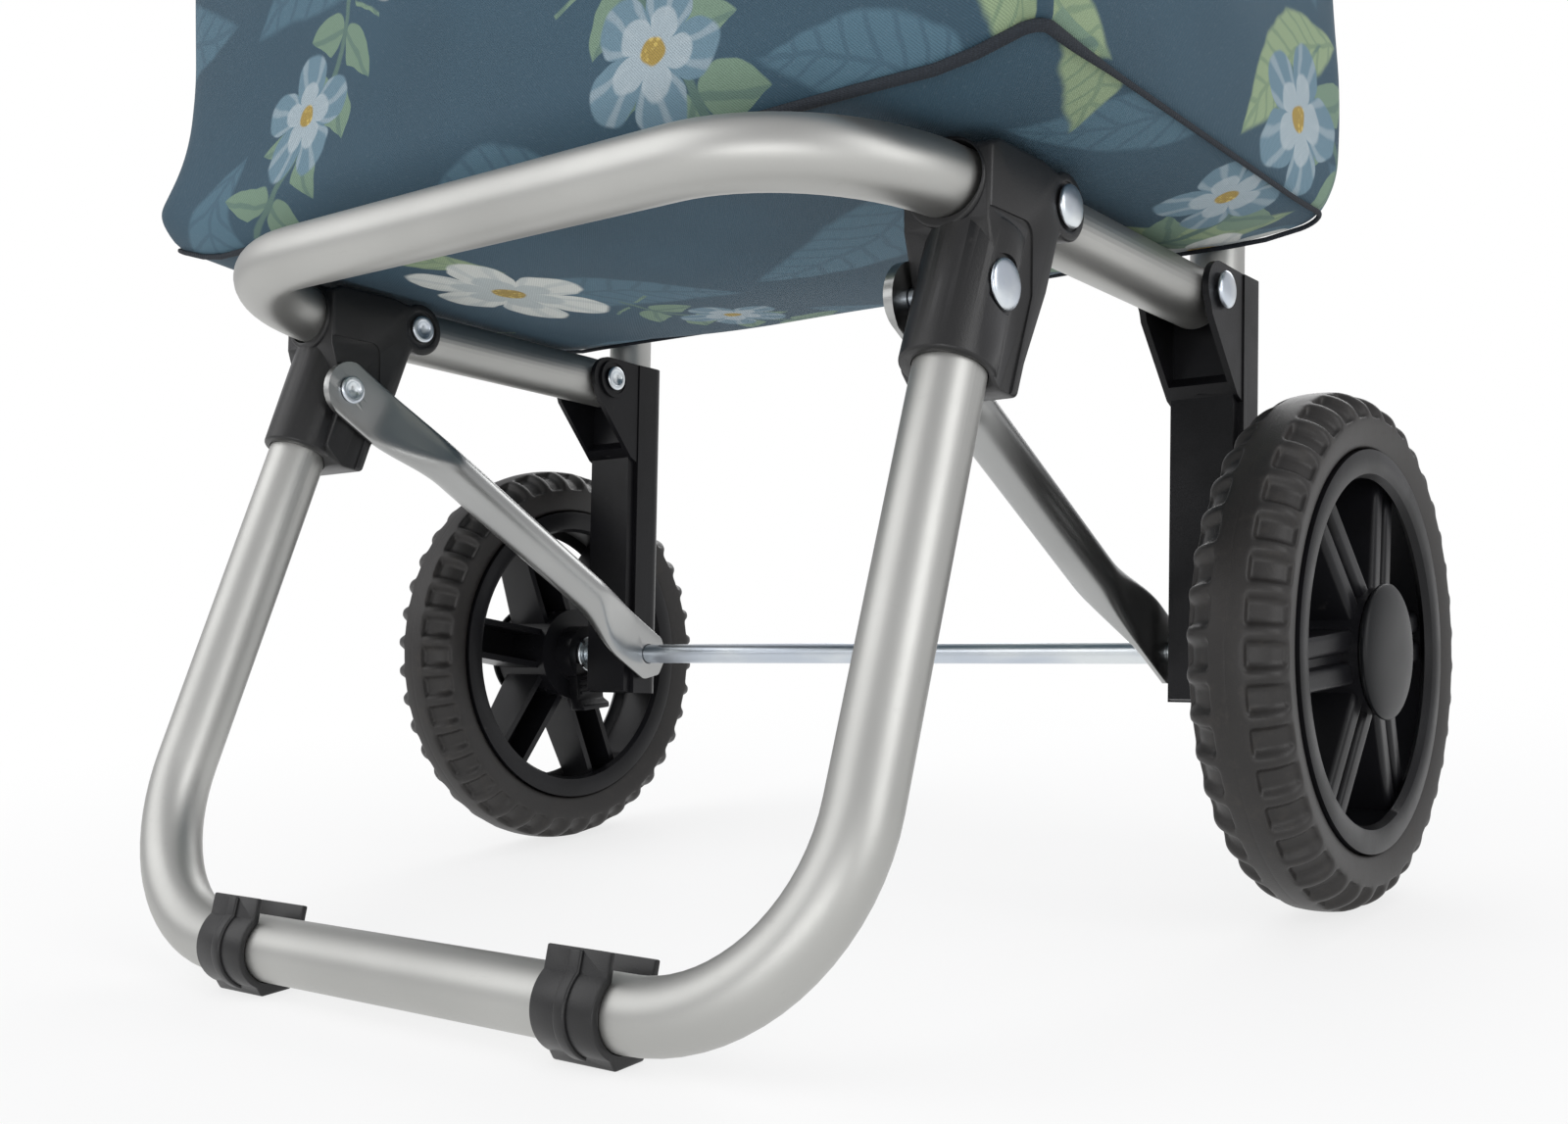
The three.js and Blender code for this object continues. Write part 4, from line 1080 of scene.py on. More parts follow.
@dataclass(frozen=True)
class Webbing(Finish):
    """Dark woven tape, as bound over the seams; along the base's front seam its dark tint is also painted
    shade.
    """

    pitch: float = 0.0012
    fuzz: tuple = (80, 90, 100)

    def build(self, n: NodeMaker) -> bpy.types.Material:
        """Builds the nodes.

        Args:
            n: The node maker.

        Returns:
            The material.
        """
        place = n.place()
        x, y, z = n.split(place)
        turn = TURN / self.pitch
        weave = ((x + z) * turn).sin() * ((y - z) * turn).sin() * 0.5 + 0.5
        fuzz = n.noise(place, 1400.0, 4.0)
        tint = n.mix(weave * 0.6, self.tint, shade(self.tint, 0.6))
        return n.surface(
            Base_Color=n.mix(fuzz.over(0.5, 0.8) * 0.15, tint, self.fuzz),
            Roughness=self.rough,
            Normal=n.bump(weave + 0.4 * fuzz, 0.0003, 0.7),
        )


TUBE_FINISH = SatinTube("satin_steel", "satin_tube", (184, 184, 181), 0.45)
STRUT_FINISH = SatinTube("rolled_steel", "satin_tube", (174, 175, 174), 0.31)
ZINC = Zinc("zinc_plate", "zinc_steel", (226, 231, 233), 0.3)
# One black plastic in two copies: darkened as painted shade on the legs, rims and latch, and made paler as
# painted light on the connectors and foot clips. The satin copy's higher shine is real.
BLACK_WITH_PAINTED_SHADE = MouldedPlastic("moulded_black", "black_plastic", (15, 15, 17), 0.4, 0.24)
SATIN_BLACK_WITH_PAINTED_LIGHT = MouldedPlastic("moulded_satin", "black_plastic", (28, 28, 29), 0.37, 0.42)
GREY_CAP = MouldedPlastic("moulded_grey", "cap_plastic", (23, 24, 26), 0.38, 0.22, 3400.0, 0.00003)
TYRE_RUBBER = Rubber("solid_rubber", "tyre_rubber", (28, 26, 25), 0.46)
FOAM = Foam("foam_skin", "grip_foam", (30, 30, 31), 0.88)
# Dark tape tint: real binding on the loops and the seam, and along the base's front seam also painted shade
# for the fold above it.
TAPE_AND_SEAM_SHADE = Webbing("seam_tape", "bag_fabric", (24, 32, 42), 0.8)
TWILL = PrintedTwill("printed_twill", "bag_fabric", (46, 78, 96), 0.74, (
    Motif(Drawing.LEAF, 0.118, (0.03, 0.02), 0.046, 3, (72, 105, 122), (56, 86, 104)),
    Motif(Drawing.LEAF, 0.132, (0.085, 0.074), 0.042, 4, (138, 158, 124), (104, 130, 106), 0.8),
    Motif(Drawing.SPRIG, 0.156, (0.02, 0.11), 0.052, 7, (112, 138, 118), (84, 112, 104), 0.75),
    Motif(Drawing.FLOWER, 0.142, (0.105, 0.04), 0.034, 6, (208, 212, 208), (164, 176, 180), 0.72),
    Motif(Drawing.FLOWER, 0.171, (0.04, 0.145), 0.022, 5, (100, 130, 146), (176, 188, 194), 0.8),
))


# ---------------------------------------------------------------------------- tubes


@dataclass(frozen=True)
class Tubes:
    """The bent tubes: handle, platform loop, foot loop and the two side tubes."""

    wall: float = 1.2
    upright_from: float = 88.3
    bend_up: float = 800.0
    bend_back: float = 35.0
    bend_radius: float = 90.0
    reach: float = 125.0
    corner_radius: float = 45.0
    platform_rear: tuple = (144.0, 116.6)
    platform_front: tuple = (212.3, 121.2)
    platform_splay: float = 3.7
    foot_top_splay: float = 2.0
    foot_splay: float = 7.4
    loop_bend: float = 56.0
    insertion: float = 12.0

    def handle_top(self) -> tuple:
        """Where the handle's cross run lies, as (forward, up)."""
        back = math.radians(self.bend_back)
        forward = LAYOUT.upright_forward - self.reach * math.sin(back)
        return (forward, self.bend_up + self.reach * math.cos(back))

    def side_runs(self) -> dict[str, list[Vector]]:
        """Where each front loop's right side run starts, and where it would meet the cross run.

        Returns:
            Both points of each, by the loop's name.
        """
        x, top = LAYOUT.side_x, LAYOUT.along_foot(-self.insertion)
        return {
            "platform_loop": [at(x, self.platform_rear), at(x + self.platform_splay, self.platform_front)],
            "foot_loop": [at(x + self.foot_top_splay, top), at(x + self.foot_splay, LAYOUT.foot_bar)],
        }

    def build(self) -> None:
        """Models the five tubes."""
        forward = LAYOUT.upright_forward
        upright = [(forward, self.upright_from), (forward, self.bend_up), self.handle_top()]
        bends = [self.bend_radius, self.corner_radius]
        handle = self.arch([at(LAYOUT.side_x, p) for p in upright], bends, LAYOUT.upright)
        Bench.set_down(handle, "handle_tube", TUBE_FINISH)
        for node, run in self.side_runs().items():
            loop = self.arch(run, [self.loop_bend], LAYOUT.tube)
            if node == "foot_loop":
                reach = LAYOUT.side_x + 25
                Bench.drill(loop, LAYOUT.pin_bore, -reach, reach, LAYOUT.strut_pivot)
            Bench.set_down(loop, node, TUBE_FINISH)
        self.side_tube()

    def arch(self, side: Sequence[Vector], bends: Sequence[float], radius: float) -> Piece:
        """Bends a tube that runs up on the right, across, and down on the left.

        Args:
            side: Where its runs on the right would meet, the cross run's corner last.
            bends: The bend radius at each of them but the first.
            radius: The tube's radius.

        Returns:
            The tube.
        """
        left = [Vector((-p.x, p.y, p.z)) for p in reversed(side)]
        return Bench.tube([*side, *left], [*bends, *reversed(bends)], radius, self.wall)

    def side_tube(self) -> None:
        """Saws the straight tube of each side, with its two pin holes."""
        x, start, end = LAYOUT.side_x, Vector(LAYOUT.leg_pivot), Vector(LAYOUT.ear_pivot)
        along = (end - start).normalized() * LAYOUT.overhang
        tube = Bench.tube([at(x, start - along), at(x, end + along)], [], LAYOUT.tube, self.wall)
        Bench.drill(tube, LAYOUT.pin_bore, x - 15, x + 15, start, end)
        Bench.set_down_pair(tube, "side_tube", TUBE_FINISH)


# ---------------------------------------------------------------------------- legs


@dataclass(frozen=True)
class Leg:
    """Moulded leg: a D sleeve for the upright, a front rib, and cheeks round the side tube."""

    rib_half: float = 11.0
    rib_front: float = 9.0
    sleeve_front: float = 5.0
    sleeve_turn: float = -5.5
    sleeve_back: float = -13.0
    bottom: float = -17.0
    top: float = 125.0
    cheek_foot: float = 84.6
    nose: float = 2.2
    boss: float = 9.0
    socket_bottom: float = 88.0
    core_hole: float = 7.5
    core_depth: float = 8.0
    gusset_half: float = 1.1
    step: float = 0.5
    edge: float = 0.7

    def build(self) -> None:
        """Models the right leg and sets down both."""
        plan = [(LAYOUT.side_x + a, -b, self.bottom) for a, b in self.sleeve_outline()]
        root = self.sleeve_front - 2
        leg = Bench.combine(
            Bench.plate(plan, (0, 0, self.top - self.bottom)),
            self.astride(self.rib_outline(root), self.rib_half),
            self.astride(self.cheek_outline(root), LAYOUT.leg_half - self.step),
        )
        Bench.cut(leg, self.channel(), self.socket(), self.bottom_pocket())
        inner = LAYOUT.side_x - LAYOUT.leg_half
        pad = Bench.pin(self.boss - 1, inner - 0.7, inner + 1, LAYOUT.leg_pivot, 48)
        Bench.combine(leg, self.gusset(), pad)
        Bench.cut(leg, Bench.pin(self.boss - 2.4, inner - 2, inner - 0.25, LAYOUT.leg_pivot, 48))
        for radius, point in ((LAYOUT.rod_bore, LAYOUT.axle), (LAYOUT.pin_bore, LAYOUT.leg_pivot)):
            Bench.drill(leg, radius, inner - 20, inner + 60, point)
        Bench.bevel(leg, self.edge, 2, 38)
        Bench.set_down_pair(leg, "wheel_leg", BLACK_WITH_PAINTED_SHADE)

    @staticmethod
    def astride(outline: Sequence[Point], half: float) -> Piece:
        """A plate of some half width over the side tube's middle plane."""
        return Bench.side_plate(outline, LAYOUT.side_x - half, LAYOUT.side_x + half)

    def sleeve_outline(self) -> list[tuple]:
        """The sleeve's D in plan, as (x, forward).

        Returns:
            Its corners.
        """
        w, turn = LAYOUT.leg_half, self.sleeve_turn
        deep = self.sleeve_back - turn
        rear = [
            (math.copysign(abs(c) ** 0.8 * w, c), turn + deep * s)
            for c, s in arc((0, 0), 1, 0, 180, 28)
        ]
        return [(w, self.sleeve_front), *rear, (-w, self.sleeve_front)]

    def rib_outline(self, root: float) -> list[tuple]:
        """The front rib's outline in the side view.

        Args:
            root: How far forward the rib starts.

        Returns:
            Its corners.
        """
        return [
            (root, self.bottom), (self.rib_front, self.bottom + 1),
            (self.rib_front, self.cheek_foot), (root, self.cheek_foot),
        ]

    def cheek_outline(self, root: float) -> list[tuple]:
        """The cheeks' outline in the side view.

        Args:
            root: How far forward the cheeks start.

        Returns:
            Its corners.
        """
        forward, up = LAYOUT.leg_pivot
        return [
            (root, self.cheek_foot - 3),
            (self.rib_front, self.cheek_foot),
            (forward + self.boss - 1, up - self.boss),
            *arc((forward + self.nose, up), self.boss, -40, 90, 14),
            (root, self.top),
        ]

    def channel(self) -> Piece:
        """The slot between the cheeks that takes the side tube.

        Returns:
            The cutter.
        """
        forward = LAYOUT.leg_pivot[0]
        back = forward - LAYOUT.end_room()
        front = forward + self.nose + 2 * self.boss
        low, high = self.cheek_foot + 1, self.top + LAYOUT.tube
        outline = [(back, low + 6), (back + 6, low), (front, low), (front, high), (back, high)]
        return self.astride(outline, LAYOUT.tube + LAYOUT.gap)

    def gusset(self) -> Piece:
        """The sloped rib in the foot of the slot."""
        front, low = self.rib_front, self.cheek_foot
        outline = [(front - 4, low - 1), (front + 1, low + 1), (front - 3.2, low + 16), (front - 5, low + 16)]
        return self.astride(outline, self.gusset_half)

    def bottom_pocket(self) -> Piece:
        """The moulder's core hole up the sleeve from below."""
        x, y = LAYOUT.side_x, -LAYOUT.upright_forward
        return Bench.bar(self.core_hole, (x, y, self.bottom - 3), (x, y, self.bottom + self.core_depth))

    def socket(self) -> Piece:
        """The bore that the upright stands in.

        Returns:
            The cutter.
        """
        low, high = (
            at(LAYOUT.side_x, (LAYOUT.upright_forward, up)) for up in (self.socket_bottom, self.top + 10)
        )
        return Bench.bar(LAYOUT.upright + LAYOUT.gap, low, high, 48)


# ---------------------------------------------------------------------------- connectors


@dataclass(frozen=True)
class Connector:
    """Moulded corner piece: sockets for both loops, and a fork for the side tube."""

    cheek: float = 3.4
    ear: float = 8.2
    boss: float = 9.6
    head_rise: float = 11.6
    head_reach: float = 22.5
    mouth_wall: float = 2.2
    sleeve: float = 13.0
    sleeve_rise: float = 17.0
    sleeve_foot: float = 24.0
    recess: float = 0.6
    step_drop: float = 7.1
    loop_end: float = 144.0
    loop_up: float = 116.6
    splay: float = 2.0
    web_edge: tuple = ((0.5, -27.5), (-8.5, -28.5), (-12.0, -19.0), (-23.0, 2.0), (-29.5, 19.0))
    spot: float = 8.0
    groove: tuple = (5.0, 6.9)
    bore_length: float = 60.0
    sides: int = 56

    def build(self) -> None:
        """Models the right connector and sets down both."""
        x = LAYOUT.side_x
        faces = (x - LAYOUT.block_half, x + LAYOUT.block_half)
        inner, outer = faces
        block = Bench.bevel(Bench.side_plate(self.web(), *faces), 1.5, 3, 25)
        Bench.cut(block, *self.panels(faces))
        mouth = Bench.bar(
            LAYOUT.tube + self.mouth_wall,
            at(x, (self.loop_end + self.mouth_wall, self.loop_up)),
            at(x, (self.loop_end + self.head_reach + 1, self.loop_up + 1)),
            self.sides,
        )
        ear = Bench.pin(self.boss, *faces, LAYOUT.ear_pivot, self.sides)
        foot = Bench.bar(
            self.sleeve,
            at(x + self.splay, LAYOUT.along_foot(-self.sleeve_rise)),
            at(x + self.splay, LAYOUT.along_foot(self.sleeve_foot)),
            self.sides,
        )
        Bench.combine(block, Bench.bevel(mouth, 0.9), Bench.bevel(ear, 1.0), Bench.bevel(foot, 0.9))
        Bench.cut(block, *self.rooms(inner + self.cheek, outer - self.cheek), *self.bores())
        past = outer + self.sleeve
        Bench.drill(block, LAYOUT.pin_bore, inner - self.sleeve, past, LAYOUT.ear_pivot, LAYOUT.strut_pivot)
        Bench.cut(
            block,
            Bench.pin(self.spot, outer, past, LAYOUT.strut_pivot, self.sides),
            self.ring(inner - 0.4, inner + 0.5),
            self.ring(outer - 0.5, outer + 0.4),
        )
        Bench.bevel(block, 0.35, 2, 50)
        Bench.set_down_pair(block, "platform_connector", SATIN_BLACK_WITH_PAINTED_LIGHT)

    def web(self) -> list[tuple]:
        """The block's side outline.

        Returns:
            Its corners.
        """
        ear_forward, ear_up = LAYOUT.ear_pivot
        forward, up = LAYOUT.strut_pivot
        front = self.loop_end + self.head_reach
        top = self.loop_up + self.head_rise
        back = ear_forward + self.ear + LAYOUT.gap
        return [
            (front, top - 2),
            (front, self.loop_up - LAYOUT.tube),
            LAYOUT.along_foot(2),
            LAYOUT.along_foot(self.sleeve_foot - 2),
            *[(forward + a, up + b) for a, b in self.web_edge],
            (ear_forward + 2, ear_up - self.ear),
            (ear_forward + 2, ear_up + self.ear),
            (back, top - 1),
            (back + 4, top),
            (front - 4, top),
        ]

    def panels(self, faces: Sequence[float]) -> list[Piece]:
        """Cutters for the recessed lower panels on both faces.

        Args:
            faces: The x of both faces.

        Returns:
            The cutters.
        """
        forward, up = LAYOUT.strut_pivot
        step, low = self.loop_up - self.step_drop, up - 3 * self.sleeve
        back = forward - self.sleeve - 2
        front = self.loop_end + self.head_reach + self.sleeve
        round_corner = arc((back + 4, step - 4), 4, 180, 90, 6)
        outline = [(back, up), *round_corner, (front, step), (front, low), (forward - 1, low)]
        return [Bench.side_plate(outline, face - self.recess, face + self.recess) for face in faces]

    def rooms(self, from_x: float, to_x: float) -> list[Piece]:
        """Cutters for the slot that takes the side tube, and the round room in which its end turns.

        Args:
            from_x: Where they start.
            to_x: Where they end.

        Returns:
            The cutters.
        """
        back = LAYOUT.ear_pivot[0] - 2 * self.sleeve
        front = self.loop_end - 2 * self.mouth_wall - 3
        low, high = LAYOUT.strut_pivot[1] - 3 * self.sleeve, self.loop_up + 30
        outline = [
            (back, low), (front + self.sleeve - 2 * self.mouth_wall, low),
            (front, self.loop_up - self.step_drop + self.mouth_wall), (front, high), (back, high),
        ]
        turning = Bench.pin(LAYOUT.end_room(), from_x, to_x, LAYOUT.ear_pivot, self.sides)
        return [Bench.side_plate(outline, from_x, to_x), turning]

    def ring(self, from_x: float, to_x: float) -> Piece:
        """The shallow groove round the ear's rivet."""
        low, high = self.groove
        profile = [(low, from_x), (high, from_x), (high, to_x), (low, to_x), (low, from_x)]
        return Bench.shift(Bench.turned(profile, self.sides), *at(0, LAYOUT.ear_pivot))

    def bores(self) -> list[Piece]:
        """Cutters for the bores that the two loops sit in, a little longer than the tubes.

        Returns:
            The cutters.
        """
        made = []
        for start, far in Tubes().side_runs().values():
            run = (far - start).normalized()
            ends = (start - run * LAYOUT.gap, start + run * self.bore_length)
            made.append(Bench.bar(LAYOUT.tube + LAYOUT.gap, *ends, self.sides))
        return made


# ---------------------------------------------------------------------------- struts and pins


@dataclass(frozen=True)
class Strut:
    """Brace: a tube pressed flat at both ends, with its flats in one plane."""

    radius: float = 7.5
    flat_half: float = 10.5
    flat_length: float = 14.0
    squareness: float = 0.45
    dent: float = 0.16
    neck: float = 36.0
    neck_steps: int = 14
    end_reach: float = 10.0
    end_half: float = 4.4
    clip: float = 6.4
    sides: int = 48

    def build(self) -> None:
        """Models the right strut and sets down both."""
        start, end = Vector(LAYOUT.axle), Vector(LAYOUT.strut_pivot)
        length, along = (end - start).length, (end - start).normalized()
        face = LAYOUT.strut_face_x
        stations = self.stations()
        stations += [(length - d, flat) for d, flat in reversed(stations)]
        strut = Bench.skin([self.ring(start + along * d, along, flat) for d, flat in stations], capped=True)
        Bench.combine(strut, self.trim(start, end), operation="INTERSECT")
        for radius, point in ((LAYOUT.rod_bore, start), (LAYOUT.pin_bore, end)):
            Bench.drill(strut, radius, face - 40, face + 5, point)
        Bench.bevel(strut, 0.4, 2, 50)
        Bench.set_down_pair(strut, "strut", STRUT_FINISH)

    def stations(self) -> list[tuple]:
        """Distances from one end, each with how flat the tube is there."""
        length, shares = self.flat_length, [i / self.neck_steps for i in range(1, self.neck_steps + 1)]
        flat = [(d, 1.0) for d in (-self.flat_half - 1, 0.0, length * 0.7, length)]
        return flat + [(length + self.neck * s, 1 - ease(s, 0.0, 1.0)) for s in shares]

    def ring(self, centre: Vector, along: Vector, flat: float) -> list[Vector]:
        """One cross-section of the strut.

        Args:
            centre: Its middle, as (forward, up).
            along: The way the strut runs.
            flat: 0 for round, 1 for pressed flat.

        Returns:
            Its points.
        """
        width = blend(self.radius, self.flat_half, flat)
        depth = blend(self.radius, LAYOUT.strut_thick / 2, flat)
        square = blend(1.0, self.squareness, flat)
        points = []
        for unit in circle(self.sides):
            c, s = (math.copysign(abs(value) ** square, value) for value in unit)
            dent = 1 - self.dent * math.sin(math.pi * flat) * (1 - abs(c))
            middle = centre + Vector((-along.y, along.x)) * (width * c)
            points.append(at(LAYOUT.strut_face_x - depth + depth * s * dent, middle))
        return points

    def trim(self, start: Vector, end: Vector) -> Piece:
        """The plate that the ends are trimmed to: round above, with clipped corners at the rod.

        Args:
            start: The rod, as (forward, up).
            end: The rivet above.

        Returns:
            The plate.
        """
        along = (end - start).normalized()
        across = Vector((-along.y, along.x))
        half, reach, face = self.flat_half, self.end_reach, LAYOUT.strut_face_x
        rounded_end = arc((reach - half, 0), half, -90, 90, 16)
        clipped_end = [
            (reach - self.clip, -half), (reach, -self.end_half), (reach, self.end_half),
            (reach - self.clip, half),
        ]
        outline = [end + along * ahead + across * aside for ahead, aside in rounded_end]
        outline += [start - along * ahead - across * aside for ahead, aside in clipped_end]
        return Bench.bevel(Bench.side_plate(outline, face - 30, face + 8), 1.2, 3, 20)


@dataclass(frozen=True)
class Pins:
    """Rivets, the axle rod, its collars and its washers."""

    shank: float = 3.0
    head: float = 6.1
    pivot_head: float = 6.9
    head_height: float = 2.3
    head_rim: float = 0.6
    rolled: float = 5.0
    collar_length: float = 4.0
    collar_ribs: int = 4
    washer_radius: float = 7.8
    washer_thick: float = 1.4
    slots: int = 4

    def build(self) -> None:
        """Turns all the pins."""
        gap = LAYOUT.gap
        leg_inner, leg_outer = LAYOUT.side_x - LAYOUT.leg_half, LAYOUT.side_x + LAYOUT.leg_half
        inner, outer = LAYOUT.side_x - LAYOUT.block_half - gap, LAYOUT.side_x + LAYOUT.block_half + gap
        leg, ear, pivot = LAYOUT.leg_pivot, LAYOUT.ear_pivot, LAYOUT.strut_pivot
        self.seat(self.rivet(leg_inner - 1, leg_outer + gap, self.head), "leg_rivet", leg)
        self.seat(self.rivet(inner, outer, self.head), "ear_rivet", ear)
        head = self.rivet(LAYOUT.strut_face_x + gap, outer, self.pivot_head, False)
        self.seat(head, "strut_rivet", pivot)
        self.seat(self.rivet_end(), "strut_rivet_end", pivot)
        self.rod()
        self.seat(self.collar(leg_outer + gap), "axle_collar", LAYOUT.axle)
        self.seat(self.washer(leg_outer + 2 * gap + self.collar_length), "axle_washer", LAYOUT.axle)

    @staticmethod
    def seat(piece: Piece, node: str, point: Point) -> None:
        """Carries a turned piece to its side-view point and sets down both."""
        Bench.set_down_pair(Bench.shift(piece, *at(0, point)), node, ZINC)

    def dome(self, outer: float, head: float) -> list[tuple]:
        """Profile of a domed head from its seat to the axis, as (radius, x)."""
        start, rise = outer + self.head_rim, self.head_height - self.head_rim
        crown = [(head * c, start + rise * s) for c, s in arc((0, 0), 1, 0, 90, 12)]
        return [(head - 0.35, outer), (head, outer + 0.25), *crown[:-1], (0, start + rise)]

    def roll(self, face: float) -> list[tuple]:
        """Profile of a rolled end, from the axis out to its seat, as (radius, x)."""
        r = self.rolled
        lip = [(r - 1.1 + 1.1 * c, face - 0.5 - 0.7 * s) for c, s in arc((0, 0), 1, 180, 0, 10)]
        return [(0, face + 0.6), (1.2, face + 0.5), (2.2, face), *lip, (r - 0.2, face)]

    def rivet(self, inner: float, outer: float, head: float, rolled: bool = True) -> Piece:
        """Turns a rivet.

        Args:
            inner: The x of its rolled end's seat.
            outer: The x of its head's seat.
            head: The head's radius.
            rolled: Whether it has a rolled end.

        Returns:
            The rivet.
        """
        start = self.roll(inner) if rolled else [(0, inner)]
        return Bench.turned([*start, (self.shank, inner), (self.shank, outer), *self.dome(outer, head)])

    def rivet_end(self) -> Piece:
        """Turns the rolled end of the strut's rivet."""
        outer = LAYOUT.strut_face_x
        face = outer - LAYOUT.strut_thick - LAYOUT.gap
        return Bench.turned([*self.roll(face), (self.shank, face), (self.shank, outer), (0, outer)])

    @staticmethod
    def rod() -> None:
        """Turns the axle rod with chamfered ends."""
        end, half = LAYOUT.rod_end, [(0, 0), (3.3, 0), (4, 0.7)]
        profile = [(r, x - end) for r, x in half] + [(r, end - x) for r, x in reversed(half)]
        Bench.set_down(Bench.turned(profile, 40), "axle_rod", ZINC)

    def collar(self, start: float) -> Piece:
        """Turns the ribbed collar beside the leg.

        Args:
            start: The x of its inner end.

        Returns:
            The collar.
        """
        bore, pitch, low, high = LAYOUT.rod_bore, self.collar_length / self.collar_ribs, 4.5, 5.2
        ribs = [
            (radius, start + pitch * (i + share))
            for i in range(self.collar_ribs)
            for share, radius in ((0.05, low), (0.3, high), (0.7, high), (0.95, low))
        ]
        return Bench.turned([(bore, start), *ribs, (bore, start + self.collar_length), (bore, start)], 36)

    def washer(self, start: float) -> Piece:
        """Turns the washer, and saws slots in its edge.

        Args:
            start: The x of its inner face.

        Returns:
            The washer.
        """
        inner, outer, end = LAYOUT.rod_bore, self.washer_radius, start + self.washer_thick
        washer = Bench.turned([
            (inner, start), (outer - 0.3, start), (outer, start + 0.3), (outer, end - 0.3),
            (outer - 0.3, end), (inner, end), (inner, start),
        ], 40)
        corners = [(5.8, -0.8), (9, -0.8), (9, 0.8), (5.8, 0.8)]
        for c, s in arc((0, 0), 1, 45, 315, self.slots - 1):
            slot = Bench.plate([(start - 1, a * c - b * s, a * s + b * c) for a, b in corners], (4, 0, 0))
            Bench.cut(washer, slot)
        return washer


# ---------------------------------------------------------------------------- wheels


@dataclass(frozen=True)
class Wheel:
    """One wheel: spoked rim, tyre with shoulder pockets, domed cap and release latch."""

    x: float = 177.7
    seat: float = 63.6
    half_width: float = 14.4
    flange_depth: float = 8.8
    well_depth: float = 5.0
    lip: float = 2.6
    hub: float = 20.0
    hub_well: float = 12.4
    hub_inner: float = -21.6
    nut_room: float = 10.0
    spokes: int = 6
    spoke_root: float = 8.4
    spoke_half: float = 8.6
    spoke_depth: float = 9.0
    spoke_wall: float = 2.6
    spoke_face: float = 6.0
    dish: float = 5.6
    turns: tuple = (30.0, 17.0)
    lugs: int = 40
    steps_per_lug: int = 13
    pocket_depth: float = 2.6
    shoulder: tuple = (
        (63.9, 11.6), (63.9, 13.2), (65.4, 13.7), (68.6, 14.6), (71.6, 15.1), (73.0, 15.2), (74.0, 15.15),
        (75.0, 14.9), (76.0, 14.5), (77.0, 14.0), (78.0, 13.2), (79.0, 12.1), (79.7, 11.1), (80.3, 10.1),
        (80.9, 9.0), (81.35, 7.9), (81.6, 7.1), (81.8, 6.5), (81.95, 6.0), (82.1, 5.4), (82.2, 4.8),
        (82.4, 2.4), (82.5, 0.25), (82.36, 0),
    )
    cap: float = 21.5
    cap_rim: float = 2.0
    cap_rise: float = 3.4

    def build(self) -> None:
        """Models the right wheel's pieces and sets down both wheels."""
        floor = LAYOUT.floor()
        for side, turn in zip(Side, self.turns):
            rim = Bench.shift(self.rim(turn), self.x, 0, 0)
            Bench.set_down(rim, f"wheel_rim_{side.name.lower()}", BLACK_WITH_PAINTED_SHADE, floor @ side.facing)
        for make, node, finish, crease in (
            (self.tyre, "tyre", TYRE_RUBBER, 60),
            (self.hub_cap, "hub_cap", GREY_CAP, 40),
            (self.latch, "wheel_latch", BLACK_WITH_PAINTED_SHADE, 32),
        ):
            Bench.set_down_pair(Bench.shift(make(), self.x, 0, 0), node, finish, floor, crease)

    def rim(self, turn: float) -> Piece:
        """Models barrel, hub and box spokes as one moulding.

        Args:
            turn: How far its spokes are turned, in degrees.

        Returns:
            The rim.
        """
        face, hub_foot = self.half_width + 1, -self.spoke_depth - 4
        rim = Bench.combine(self.barrel(), Bench.turned([
            (0, self.hub_inner), (self.hub_well, self.hub_inner), (self.hub_well, hub_foot),
            (self.hub, hub_foot), (self.hub, face), (0, face),
        ], 72))
        spoke = self.spoke()
        for i in range(self.spokes):
            turned = Bench.copy(spoke)
            turned.data.transform(Matrix.Rotation(math.radians(turn) + TURN * i / self.spokes, 4, "X"))
            Bench.combine(rim, turned)
        Bench.discard(spoke)
        past = face + 4
        Bench.cut(
            rim,
            Bench.pin(LAYOUT.rod_bore, self.hub_inner - 4, past, LAYOUT.axle),
            Bench.pin(self.nut_room, LAYOUT.rod_end - self.x - 6, past, LAYOUT.axle),
            self.latch_slot(),
        )
        return Bench.bevel(rim, 0.5, 2, 40)

    def barrel(self) -> Piece:
        """The rim's barrel: a seat for the tyre, and a rolled lip on each side of a well.

        Returns:
            The barrel.
        """
        w, seat, lip = self.half_width, self.seat, self.lip
        opening, well = seat - self.flange_depth, seat - self.well_depth
        half = [
            (seat, w), (seat - 1, w + 0.3), (opening + 3, w + 0.3), (opening + 1.2, w - 0.4),
            (opening, w - lip), (opening + 0.6, w - lip - 0.8), (well, w - 2 * lip),
        ]
        return Bench.turned([(seat, -w), *half, *((r, -x) for r, x in reversed(half))], 144)

    def spoke(self) -> Piece:
        """One box spoke: open behind, with two ridges in front, pulled out along z.

        Returns:
            The spoke.
        """
        w, d, root = self.spoke_half, self.spoke_depth, self.spoke_root
        wall, length = w - self.spoke_wall, self.seat - self.well_depth + 1 - root
        half = [
            (wall, d - self.spoke_face), (wall, -d), (w, -d),
            *arc((w - 2.0, d - 2.0), 2.0, 0, 90, 5), *arc((3.2, d - 1.6), 1.6, 90, 180, 4), (1.2, d - 2.6),
        ]
        section = half + [(-a, b) for a, b in reversed(half)]
        spoke = Bench.plate([(x, y, root) for y, x in section], (0, 0, length))
        for vertex in spoke.data.vertices:
            if vertex.co.x > 0 and vertex.co.z < self.hub:
                vertex.co.x += self.dish
        corners = ((2 - d, -0.8), (2 - d, 0.8), (d - 4, 0.8), (d - 4, -0.8))
        return Bench.combine(spoke, Bench.plate([(x, y, root) for x, y in corners], (0, 0, 12)))

